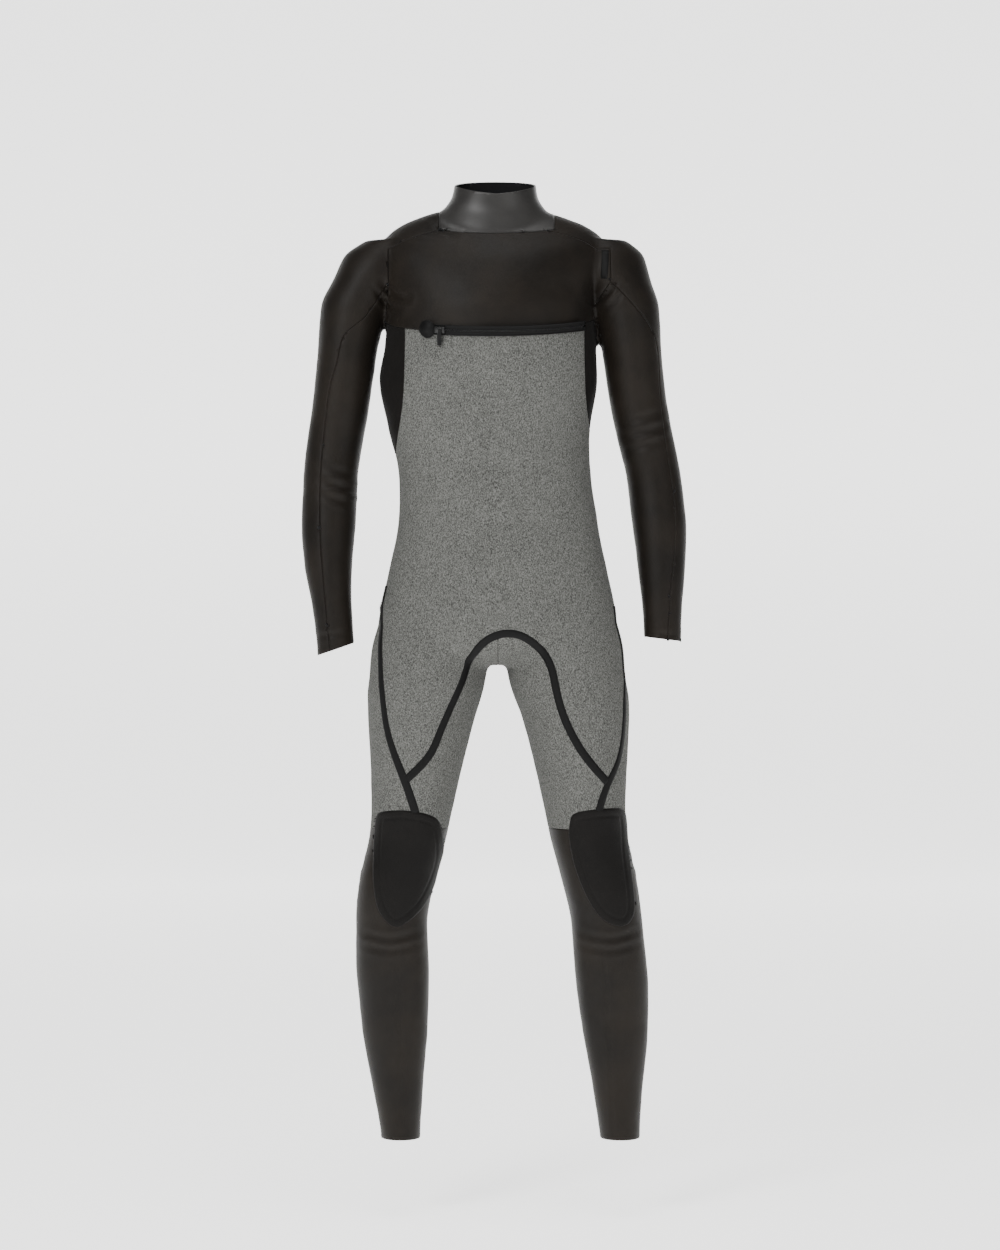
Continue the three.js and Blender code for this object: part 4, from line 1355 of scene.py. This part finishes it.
@dataclass
class Ribbon:
    """A narrow tape that lies on the surface along a line in front view.

    Attributes:
        name: the node that it stands for.
        line: its middle line as (x, z).
        width: its width.
        rise: how far its middle stands off the surface.
        finish: its finish.
        across: how many faces it has across.
        spacing: distance between its rows of faces.
        evening: how often its middle line is evened out.
        thickness: its thickness.
        sunk: how far its edges lie in the surface.
    """

    name: str
    line: Array
    width: float
    rise: float
    finish: Finishes = Finishes.TAPE
    across: int = 6
    spacing: float = 0.005
    evening: int = 8
    thickness: float = 0.0007
    sunk: float = 0.0003

    def build(self, surface: Surface) -> bpy.types.Object:
        """Lay the ribbon.

        Args:
            surface: what it lies on.

        Returns:
            The piece.
        """
        centre = self._centre(surface)
        bm = bmesh.new()
        made = bmesh.ops.create_grid(bm, x_segments=self.across, y_segments=len(centre) - 1, size=1.0)
        bm.verts.ensure_lookup_table()
        for vert in made["verts"]:
            u, v = vert.co.x, (vert.co.y + 1) / 2 * (len(centre) - 1)
            index = min(int(round(v)), len(centre) - 1)
            point, normal = centre[index]
            ahead = centre[min(index + 1, len(centre) - 1)][0] - centre[max(index - 1, 0)][0]
            side = ahead.cross(normal).normalized()
            place, up = surface.nearest(point + side * (u * self.width / 2))
            edge = abs(u) ** 6
            lift = self.rise * (1 - edge) - self.sunk * edge
            vert.co = place + up * lift
        bmesh.ops.recalc_face_normals(bm, faces=bm.faces)
        bm.normal_update()
        middle = bm.faces[:][len(bm.faces) // 2]
        _, up = surface.nearest(middle.calc_center_median())
        if middle.normal.dot(up) < 0:
            bmesh.ops.reverse_faces(bm, faces=bm.faces)
        piece = new_piece(self.name, bm, self.finish)
        thicken(piece, "tape", self.thickness)
        return piece

    def _centre(self, surface: Surface) -> list[tuple[Vector, Vector]]:
        """Even steps along the line, laid on the surface."""
        steps = np.concatenate([[0], np.cumsum(np.linalg.norm(np.diff(self.line, axis=0), axis=1))])
        count = max(3, int(steps[-1] / self.spacing))
        at = np.linspace(0, steps[-1], count)
        x, z = np.interp(at, steps, self.line[:, 0]), np.interp(at, steps, self.line[:, 1])
        points = np.array([surface.seen_from_front(float(a), float(b))[0][:] for a, b in zip(x, z)])
        for _ in range(self.evening):
            points[1:-1] = (points[:-2] + 2 * points[1:-1] + points[2:]) / 4
        return [surface.nearest(Vector(point)) for point in points]


@dataclass
class KneePad:
    """A printed pad laid over one knee, with a stitched line inside its edge.

    Attributes:
        side: whose knee it is.
        marks: heights of the wearer's landmarks.
        hem: distance of the stitched line from the edge.
        rise: how far the pad stands off the surface.
        edge: width of its rounded edge.
        sunk: share of its rise that its edge lies in the surface.
        stitch_depth: depth of the stitched line.
        stitch_width: half width of the stitched line.
        thickness: its thickness.
        reach: how far above, below and behind the knee it may lie.
        spare: width kept round it until it is cut out.
        snap: how far a vertex may slide to the cut.
        turned: how far its faces may turn from the front.
        SHIELD: its outline, as x and the height above the knee's top.
    """

    side: Side
    marks: Landmarks
    hem: float = 0.012
    rise: float = 0.0018
    edge: float = 0.0025
    sunk: float = 0.2
    stitch_depth: float = 0.0009
    stitch_width: float = 0.0018
    thickness: float = 0.0016
    reach: float = 0.05
    spare: float = 0.008
    snap: float = 0.0006
    turned: float = 0.35

    SHIELD: ClassVar[dict[Side, tuple[Point2, ...]]] = {
        Side.LEFT: ((0.112, -0.004), (0.119, 0.013), (0.155, 0.020), (0.192, 0.019), (0.203, 0.003),
                    (0.206, -0.047), (0.213, -0.107), (0.214, -0.140), (0.202, -0.160), (0.180, -0.160),
                    (0.156, -0.144), (0.134, -0.107), (0.118, -0.062), (0.111, -0.022)),
        Side.RIGHT: ((-0.189, -0.002), (-0.180, 0.014), (-0.137, 0.018), (-0.096, 0.007), (-0.084, -0.018),
                     (-0.083, -0.060), (-0.095, -0.100), (-0.118, -0.139), (-0.154, -0.163), (-0.181, -0.141),
                     (-0.191, -0.095), (-0.191, -0.034)),
    }

    def build(self, surface: Surface) -> bpy.types.Object:
        """Lay the pad.

        Args:
            surface: what it lies on.

        Returns:
            The piece.
        """
        value = outline_field(self._outline())
        low, high = self.marks.knee_bottom - self.reach, self.marks.knee_top + self.reach
        bm = surface.bm.copy()
        co = face_centres(bm)
        near = np.array([f.normal.y for f in bm.faces]) < self.turned
        near &= Zone(None, (-math.inf, self.reach), (low, high))(co) & (self.side.sign * co[:, 0] > 0)
        inside = np.zeros(len(co), bool)
        inside[near] = value(co[near]) < self.spare
        keep_faces(bm, inside)
        bmesh.ops.subdivide_edges(bm, edges=bm.edges, cuts=1, smooth=0.0, use_grid_fill=True)
        Cutter(bm, snap=self.snap).cut(value)
        keep_faces(bm, value(face_centres(bm)) <= 0)
        bm.normal_update()
        depth = -value(np.array([v.co[:] for v in bm.verts]))
        stitch = self.stitch_depth * np.exp(-(((depth - self.hem) / self.stitch_width) ** 2))
        lift = self.rise * np.clip(depth / self.edge, -self.sunk, 1) - stitch
        for vert, up in zip(bm.verts, lift):
            vert.co += vert.normal * float(up)
        piece = new_piece(f"{self.side.value}_knee_pad", bm, Finishes.PAD)
        thicken(piece, "pad", self.thickness)
        return piece

    def _outline(self) -> Array:
        """The pad in front view: a shield, with a round foot on the outer side of the shin."""
        top = self.marks.knee_top
        points = [(x, top + drop) for x, drop in self.SHIELD[self.side]]
        return smooth_line([*points, points[0]], 70)[:-1]


# ---- the zip ----


@dataclass
class Zip:
    """The chest zip: two toothed tapes, a slider with its pull, and a round patch at the closed end.

    Places are given in the zip's tilted frame: an angle from the front, a radius and a height.

    Attributes:
        radius: distance of the chest's sheet from the zip's axis.
        start: angle of its closed end.
        end: angle of its open end.
        lift: how far tapes and teeth stand off the sheet.
        tape_low: height of a tape's inner edge.
        tape_high: height of its outer edge.
        tape_roll: how far its outer edge swells.
        tape_thickness: thickness of tapes and patch.
        tooth_pitch: distance between teeth.
        tooth_size: a tooth's length, depth and height.
        tooth_gap: height of a tooth's middle.
        slider_angle: the slider's place after the closed end.
        slider_half: half of its length.
        slider_wide: half of its width.
        slider_lift: how far its plate stands off the sheet.
        slider_thick: thickness of its plate.
        bridge_radii: the bridge's inner and outer faces, above the plate's inner face.
        bridge_heights: the bridge's lower and upper faces.
        patch_radius: radius of the round patch.
        patch_lift: how far the patch stands off the sheet.
        patch_dome: how far its middle stands off its edge.
    """

    radius: float = 0.2025
    start: float = math.radians(-28)
    end: float = math.radians(46)
    lift: float = 0.0012
    tape_low: float = 0.0012
    tape_high: float = 0.0078
    tape_roll: float = 0.0010
    tape_thickness: float = 0.0012
    tooth_pitch: float = 0.004
    tooth_size: Sequence[float] = (0.0022, 0.0022, 0.0014)
    tooth_gap: float = 0.0008
    slider_angle: float = math.radians(6)
    slider_half: float = 0.008
    slider_wide: float = 0.0050
    slider_lift: float = 0.0028
    slider_thick: float = 0.0020
    bridge_radii: Point2 = (0.0015, 0.0042)
    bridge_heights: Point2 = (0.0020, 0.0038)
    patch_radius: float = 0.0135
    patch_lift: float = 0.0036
    patch_dome: float = 0.0012

    def __post_init__(self) -> None:
        """Take the zip's axis from the joint that the slider turns on."""
        joint = next(j for j in frame["joints"] if j["name"] == "zip_travel")
        self.middle = Vector(joint["pos_m"])
        self.up = Vector(joint["axis"]).normalized()
        self.across = Vector((1, 0, 0))
        self.ahead = self.across.cross(self.up)

    def place(self, angle: float, radius: float, height: float) -> Vector:
        """Turn a place in the zip's frame into a place in the object's frame.

        Args:
            angle: angle from the front, towards the wearer's left.
            radius: distance from the zip's axis.
            height: height along the axis.

        Returns:
            The place.
        """
        out = self.across * math.sin(angle) + self.ahead * math.cos(angle)
        return self.middle + out * radius + self.up * height

    def build(self) -> list[bpy.types.Object]:
        """Make the zip.

        Returns:
            Its pieces.
        """
        pieces = []
        for sign, half, body in ((1, "upper", Body.FLAP), (-1, "lower", Body.SUIT)):
            tape = self._tape(f"zip_{half}_tape", sign)
            chain = self._chain(f"zip_{half}_chain", sign)
            for piece in (tape, chain):
                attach(piece, body.value)
                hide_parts(piece.name.removesuffix(SUFFIX))
            pieces += [tape, chain]
        pieces += [self._slider(), self._pull(), self._patch()]
        return pieces

    def _tape(self, name: str, sign: int) -> bpy.types.Object:
        """A woven tape with a rolled outer edge."""
        bm = bmesh.new()
        made = bmesh.ops.create_grid(bm, x_segments=90, y_segments=8, size=1.0)
        for vert in made["verts"]:
            angle = self.start + (self.end - self.start) * (vert.co.x + 1) / 2
            share = (vert.co.y + 1) / 2
            roll = self.tape_roll * math.exp(-(((share - 0.9) / 0.10) ** 2))
            height = self.tape_low + (self.tape_high - self.tape_low) * share
            vert.co = self.place(angle, self.radius + self.lift + roll, sign * height)
        self._face_out(bm)
        piece = new_piece(name, bm, Finishes.TAPE)
        thicken(piece, "tape", self.tape_thickness)
        return piece

    def _face_out(self, bm: bmesh.types.BMesh) -> None:
        """Turn an open sheet's faces to the front."""
        bm.normal_update()
        if sum(face.normal.y for face in bm.faces) > 0:
            bmesh.ops.reverse_faces(bm, faces=bm.faces)

    def _chain(self, name: str, sign: int) -> bpy.types.Object:
        """A row of small moulded teeth; the two rows mesh with half a pitch between them."""
        bm = bmesh.new()
        count = int((self.end - self.start) * self.radius / self.tooth_pitch) - 1
        for index in range(count):
            share = index + (0.75 if sign > 0 else 0.25)
            angle = self.start + share * self.tooth_pitch / self.radius
            made = bmesh.ops.create_cube(bm, size=1.0)
            long, deep, high = self.tooth_size
            for vert in made["verts"]:
                across = vert.co.x * long * (1.0 if vert.co.z * sign > 0 else 1.25)
                vert.co = self.place(angle + across / self.radius, self.radius + self.lift + vert.co.y * deep,
                                     sign * (self.tooth_gap + vert.co.z * high))
        bmesh.ops.bevel(bm, geom=bm.edges[:], offset=0.0003, segments=1, affect="EDGES")
        bmesh.ops.recalc_face_normals(bm, faces=bm.faces)
        return new_piece(name, bm, Finishes.MOULDED, smooth=False)

    def _bar(self, bm: bmesh.types.BMesh, angles: Point2, radii: Point2, heights: Point2) -> None:
        """Add a curved block between two angles, radii and heights."""
        made = bmesh.ops.create_cube(bm, size=1.0)
        for vert in made["verts"]:
            u, v, w = (vert.co.x + 0.5, vert.co.y + 0.5, vert.co.z + 0.5)
            vert.co = self.place(angles[0] + u * (angles[1] - angles[0]),
                                 radii[0] + v * (radii[1] - radii[0]),
                                 heights[0] + w * (heights[1] - heights[0]))

    def _slider(self) -> bpy.types.Object:
        """The slider: a plate with rounded ends and a bridge for the pull."""
        middle = self.start + self.slider_angle
        half = self.slider_half / self.radius
        base = self.radius + self.slider_lift
        plate = (base, base + self.slider_thick)
        bridge = (base + self.bridge_radii[0], base + self.bridge_radii[1])
        bm = bmesh.new()
        self._bar(bm, (middle - half, middle + half), plate, (-self.slider_wide, self.slider_wide))
        self._bar(bm, (middle - half / 2, middle + half / 2), bridge, self.bridge_heights)
        bmesh.ops.recalc_face_normals(bm, faces=bm.faces)
        bmesh.ops.bevel(bm, geom=bm.edges[:], offset=0.0006, segments=3, affect="EDGES", profile=0.5)
        piece = new_piece("zip_slider", bm, Finishes.MOULDED)
        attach(piece, Body.SLIDER.value)
        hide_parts("zip_slider")
        return piece

    def _pull(self) -> bpy.types.Object:
        """The pull: a flat tab that hangs below the bridge."""
        low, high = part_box("zip_pull_tab")
        bm = bmesh.new()
        bmesh.ops.create_cube(bm, size=1.0)
        bmesh.ops.subdivide_edges(bm, edges=bm.edges[:], cuts=3, use_grid_fill=True)
        middle, size = (low + high) / 2, high - low
        for vert in bm.verts:
            taper = 1 - 0.18 * (0.5 - vert.co.z)
            ridge = 0.75 if abs(vert.co.z + 0.25) < 0.01 else 1.0
            vert.co = Vector((middle.x + vert.co.x * size.x * taper * 0.98,
                              middle.y + vert.co.y * size.y * ridge * 0.9, middle.z + vert.co.z * size.z))
        piece = new_piece("zip_pull_tab", bm, Finishes.MOULDED)
        soften = piece.modifiers.new("edge", "BEVEL")
        soften.width = 0.0004
        soften.segments = 2
        soften.limit_method = "ANGLE"
        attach(piece, Body.PULL.value)
        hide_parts("zip_pull_tab")
        return piece

    def _patch(self) -> bpy.types.Object:
        """The round patch that covers the zip's closed end."""
        low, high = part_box("zip_end_patch")
        middle = (low + high) / 2
        angle = math.asin((middle.x - self.middle.x) / (self.radius + 0.004))
        bm = bmesh.new()
        bmesh.ops.create_circle(bm, cap_ends=True, cap_tris=False, segments=48, radius=self.patch_radius)
        for _ in range(3):
            bmesh.ops.inset_region(bm, faces=bm.faces[-1:], thickness=self.patch_radius * 0.12)
        outermost = max(round(vert.co.length, 6) for vert in bm.verts)
        for vert in bm.verts:
            dome = self.patch_dome * (1 - (vert.co.length / outermost) ** 4)
            vert.co = self.place(angle + vert.co.x / self.radius, self.radius + self.patch_lift + dome,
                                 vert.co.y)
        self._face_out(bm)
        piece = new_piece("zip_end_patch", bm, Finishes.TAPE)
        thicken(piece, "patch", self.tape_thickness)
        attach(piece, Body.FLAP.value)
        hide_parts("zip_end_patch")
        return piece


# ---- the suit ----


class Wetsuit:
    """The whole suit: panels cut from one form, with their trims and zip."""

    BIB_BEHIND = 0.0040
    BIB_THICKNESS = 0.0012
    SLIVER = 0.0003
    ELBOW_FOLDS = ((0.0, 0.0030), (-0.022, 0.0016), (0.024, 0.0012))
    ELBOW_SHIFT = {Side.LEFT: 0.042, Side.RIGHT: -0.042}
    SHIN_FOLDS = ((-0.012, 0.0016), (-0.030, 0.0012))
    KNEE_BACK_FOLDS = ((0.012, 0.0030), (-0.014, 0.0024))
    SHIN_PLACES = (4.25, 4.5, 4.75, 4.98)
    NECK_FOLD = Crease(((-0.098, 0.026), (-0.086, 0.012), (-0.062, 0.002)), 0.0022, 0.004)
    WAIST_FOLD = Crease(((-0.050, -0.352), (0.0, -0.358), (0.050, -0.350)), 0.0012, 0.010)

    def __init__(self, marks: Landmarks, sizes: SuitSizes) -> None:
        """Take the sizes.

        Args:
            marks: heights of the wearer's landmarks.
            sizes: the suit's sizes.
        """
        self.marks, self.sizes = marks, sizes
        self.pattern = Pattern(marks, sizes)

    def creases(self) -> list[Crease]:
        """The folds that the worn suit shows."""
        out = []
        for side in Side:
            out += [*self._armpit_folds(side), *self._elbow_folds(side), *self._knee_folds(side)]
            out += [self._shin_line(side), self._wrist_fold(side)]
        return [*out, self.NECK_FOLD, self.WAIST_FOLD]

    def _armpit_folds(self, side: Side) -> list[Crease]:
        """Two slanting folds where the flap runs into the armpit."""
        edge = self.sizes.flap_edge(side)
        deep = ((-0.030, -0.098), (-0.012, -0.092), (0.010, -0.070))
        slight = ((-0.020, -0.112), (0.006, -0.100), (0.022, -0.078))
        return [
            Crease(tuple((edge + side.sign * out, z) for out, z in deep), 0.0035, 0.005),
            Crease(tuple((edge + side.sign * out, z) for out, z in slight), 0.0025, 0.004),
        ]

    def _elbow_folds(self, side: Side) -> list[Crease]:
        """Folds across the elbow, from its inner edge outward."""
        elbow = self.marks.elbow + self.ELBOW_SHIFT[side]
        inner, outer = (self.pattern.outlines.arm_point(side, 1.0, across)[0] for across in (-0.9, 0.4))
        middle = (inner + outer) / 2
        return [
            Crease(((inner, elbow + shift - 0.004), (middle, elbow + shift + 0.002),
                    (outer, elbow + shift + 0.010)), depth, 0.005)
            for shift, depth in self.ELBOW_FOLDS
        ]

    def _knee_folds(self, side: Side) -> list[Crease]:
        """Folds below the knee pad, and behind the knee."""
        knee = float(np.interp(4.3, *_columns(LEG_LINE[side])))
        out = []
        for shift, depth in self.SHIN_FOLDS:
            low = self.marks.knee_bottom + shift
            line = ((knee - 0.040, low), (knee, low - 0.006), (knee + 0.040, low + 0.002))
            out.append(Crease(line, depth, 0.005))
        for shift, depth in self.KNEE_BACK_FOLDS:
            at = self.marks.knee + shift
            line = ((knee - 0.045, at), (knee, at + 0.005), (knee + 0.045, at))
            out.append(Crease(line, depth, 0.006, behind=True))
        return out

    def _shin_line(self, side: Side) -> Crease:
        """The faint line down the shin."""
        middle = np.interp(self.SHIN_PLACES, *_columns(LEG_LINE[side])) - side.sign * 0.010
        heights = self.marks.body_height(np.array(self.SHIN_PLACES))
        return Crease(tuple(zip(middle.tolist(), heights.tolist())), 0.0008, 0.0028)

    def _wrist_fold(self, side: Side) -> Crease:
        """The fold across the wrist."""
        inner = self.pattern.outlines.arm_point(side, 1.93, -0.8)
        outer = self.pattern.outlines.arm_point(side, 1.95, 0.8)
        return Crease((inner, outer), 0.0016, 0.004)

    @property
    def _knee_bend(self) -> Point2:
        """The heights between which a leg bends."""
        spare = 0.012
        return self.marks.knee_top - spare, self.marks.knee_bottom + spare

    def panels(self) -> list[Panel]:
        """The suit's panels, in order."""
        flap = Body.FLAP.value
        out = [
            Panel("collar", Finishes.SMOOTH, ("collar",), flap),
            Panel("chest_flap", Finishes.MESH_SKIN, ("chest_flap",), flap),
            Panel("front_panel", Finishes.HEATHER, ("front_panel",)),
            Panel("back_panel", Finishes.JERSEY, ("back_panel",)),
            Panel("seat_panel", Finishes.JERSEY, ("seat_panel",)),
        ]
        for side in Side:
            name = side.value
            arm = (Body.SUIT.value, f"{name}_lower_arm", (self.marks.elbow_top, self.marks.elbow_bottom))
            leg = (Body.SUIT.value, f"{name}_lower_leg", self._knee_bend)
            out += [
                Panel(f"{name}_shoulder_panel", Finishes.MESH_SKIN, (f"{name}_shoulder_panel",), blend=arm),
                Panel(f"{name}_sleeve", Finishes.MESH_SKIN,
                      (f"{name}_upper_sleeve", f"{name}_elbow", f"{name}_forearm", f"{name}_wrist_cuff"),
                      blend=arm),
                Panel(f"{name}_side_panel", Finishes.JERSEY, (f"{name}_side_panel",)),
                Panel(f"{name}_inner_thigh", Finishes.HEATHER, (f"{name}_inner_thigh",)),
                Panel(f"{name}_outer_thigh", Finishes.HEATHER, (f"{name}_outer_thigh",)),
                Panel(f"{name}_back_thigh", Finishes.HEATHER, (f"{name}_back_thigh",)),
                Panel(f"{name}_shin", Finishes.MESH_SKIN, (f"{name}_knee", f"{name}_shin"), blend=leg),
                Panel(f"{name}_calf", Finishes.MESH_SKIN, (f"{name}_calf", f"{name}_ankle_cuff"), blend=leg),
            ]
        return out

    def build(self) -> list[bpy.types.Object]:
        """Make the whole suit.

        Returns:
            Its pieces.
        """
        form = BodyForm(self.marks, self.sizes).build(self.creases())
        LOG.info("form: %d faces", len(form.faces))
        surface = Surface(form.copy())
        cutter = Cutter(form)
        for value, zone in self.pattern.seams():
            cutter.cut(value, zone)
        bmesh.ops.dissolve_degenerate(form, dist=self.SLIVER, edges=form.edges[:])
        form.normal_update()
        panels = self.panels()
        names = [panel.name for panel in panels]
        labels = settled(form, self.pattern.label(face_centres(form), names))
        LOG.info("cut: %d faces", len(form.faces))
        pieces = [panel.build(form, labels, names.index(panel.name), self.sizes) for panel in panels]
        form.free()
        pieces += self._tapes(surface) + self._pads(surface) + [self._bib(surface)]
        return pieces + Zip().build()

    def _tapes(self, surface: Surface) -> list[bpy.types.Object]:
        """The tapes over the thigh and arch seams, and the flap's edge strip."""
        sizes, outlines = self.sizes, self.pattern.outlines
        arch = np.vstack([outlines.arch_line(Side.LEFT)[::-1], outlines.arch_line(Side.RIGHT)[1:]])
        made = [(Ribbon("crotch_arch_tape", arch, sizes.tape_width, 0.0013), Body.SUIT)]
        for side in Side:
            line = outlines.thigh_line(side)
            line = line[line[:, 1] > self.marks.knee_top + 0.014]
            tape = Ribbon(f"{side.value}_thigh_tape", line, sizes.tape_width, 0.0015, across=8)
            made.append((tape, Body.SUIT))
        low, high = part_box("flap_edge_strip")
        middle = (low[0] + high[0]) / 2
        strip = np.array([(middle, high[2] - 0.003), (middle, (low[2] + high[2]) / 2),
                          (middle - 0.002, low[2] + 0.002)])
        made.append((Ribbon("flap_edge_strip", strip, 0.0125, 0.0009), Body.FLAP))
        pieces = []
        for ribbon, body in made:
            piece = ribbon.build(surface)
            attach(piece, body.value)
            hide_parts(ribbon.name)
            pieces.append(piece)
        return pieces

    def _pads(self, surface: Surface) -> list[bpy.types.Object]:
        """The two knee pads."""
        pieces = []
        for side in Side:
            start, end = self._knee_bend
            pad = KneePad(side, self.marks).build(surface)
            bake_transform(pad)
            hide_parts(f"{side.value}_knee_pad")
            pieces.append(pad)
        return pieces

    def _bib(self, surface: Surface) -> bpy.types.Object:
        """The water barrier that lies behind the zip."""
        low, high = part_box("inner_bib")
        bm = surface.bm.copy()
        keep_faces(bm, Zone((low[0], high[0]), (-math.inf, high[1]), (low[2], high[2]))(face_centres(bm)))
        bm.normal_update()
        for vert in bm.verts:
            vert.co -= vert.normal * self.BIB_BEHIND
        piece = new_piece("inner_bib", bm, Finishes.LINING)
        thicken(piece, "bib", self.BIB_THICKNESS)
        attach(piece, Body.SUIT.value)
        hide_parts("inner_bib")
        return piece


# ---- the studio ----


@dataclass
class Studio:
    """A pale floor and backdrop, soft lights and the camera."""

    floor: float
    camera: tuple[float, float, float] = (0.005, -5.0, -0.60)
    target: tuple[float, float, float] = (0.005, 0.0, -0.60)
    lens: float = 61.5
    near: float = 6.5
    depth: float = 13.0
    cove: float = 1.5
    wall: float = 6.0
    width: float = 16.0
    glow: float = 1.7
    daylight: float = 0.22
    sensor: float = 24.0
    aim: tuple[float, float, float] = (0.0, 0.0, -0.6)
    lights: tuple[tuple[str, tuple[float, float, float], float, float], ...] = (
        ("key", (-1.8, -3.0, 1.3), 100.0, 1.2),
        ("fill", (2.2, -3.2, 0.2), 26.0, 1.8),
        ("top", (0.0, -0.8, 2.4), 40.0, 1.4),
    )

    def build(self) -> None:
        """Set up the floor, the lights, the world and the camera."""
        self._backdrop()
        scene = bpy.context.scene
        for name, place, power, size in self.lights:
            data = bpy.data.lights.new(name, "AREA")
            data.energy, data.size = power, size
            lamp = bpy.data.objects.new(name, data)
            lamp.location = place
            lamp.rotation_euler = (Vector(self.aim) - Vector(place)).to_track_quat("-Z", "Y").to_euler()
            scene.collection.objects.link(lamp)
        world = bpy.data.worlds.new("studio")
        world.use_nodes = True
        sky = world.node_tree.nodes["Background"]
        sky.inputs["Color"].default_value = (1, 1, 1, 1)
        sky.inputs["Strength"].default_value = self.daylight
        scene.world = world
        data = bpy.data.cameras.new("camera")
        data.sensor_fit, data.sensor_height, data.lens = "VERTICAL", self.sensor, self.lens
        camera = bpy.data.objects.new("camera", data)
        camera.location = self.camera
        gaze = Vector(self.target) - Vector(self.camera)
        camera.rotation_euler = gaze.to_track_quat("-Z", "Y").to_euler()
        scene.collection.objects.link(camera)
        scene.camera = camera

    def _backdrop(self) -> None:
        """A floor that curves up into a wall behind."""
        bm = bmesh.new()
        made = bmesh.ops.create_grid(bm, x_segments=8, y_segments=90, size=1.0)
        turn = self.cove * math.pi / 2
        length = self.depth + turn + self.wall
        for vert in made["verts"]:
            run = (vert.co.y + 1) / 2 * length
            bend = min(max(run - self.depth, 0) / self.cove, math.pi / 2)
            up = max(run - self.depth - turn, 0)
            vert.co = Vector((vert.co.x * self.width / 2,
                              min(run, self.depth) - self.near + self.cove * math.sin(bend),
                              self.floor + self.cove * (1 - math.cos(bend)) + up))
        bmesh.ops.recalc_face_normals(bm, faces=bm.faces)
        mesh = bpy.data.meshes.new("backdrop")
        for face in bm.faces:
            face.smooth = True
        bm.to_mesh(mesh)
        bm.free()
        drop = bpy.data.objects.new("backdrop", mesh)
        bpy.context.scene.collection.objects.link(drop)
        white = bpy.data.materials.new("backdrop")
        white.use_nodes = True
        shader = white.node_tree.nodes["Principled BSDF"]
        shader.inputs["Base Color"].default_value = (0.93, 0.93, 0.925, 1)
        shader.inputs["Roughness"].default_value = 0.9
        shader.inputs["Emission Color"].default_value = (1.0, 1.0, 0.995, 1)
        shader.inputs["Emission Strength"].default_value = self.glow
        mesh.materials.append(white)


def main() -> None:
    """Build the suit and its studio."""
    logging.basicConfig(level=logging.INFO)
    marks = Landmarks.from_frame()
    LOG.info("landmarks: %s", marks)
    pieces = Wetsuit(marks, SIZES).build()
    LOG.info("%d pieces", len(pieces))
    Studio(floor=marks.ankle - 0.125).build()


if __name__ == "__main__":
    main()
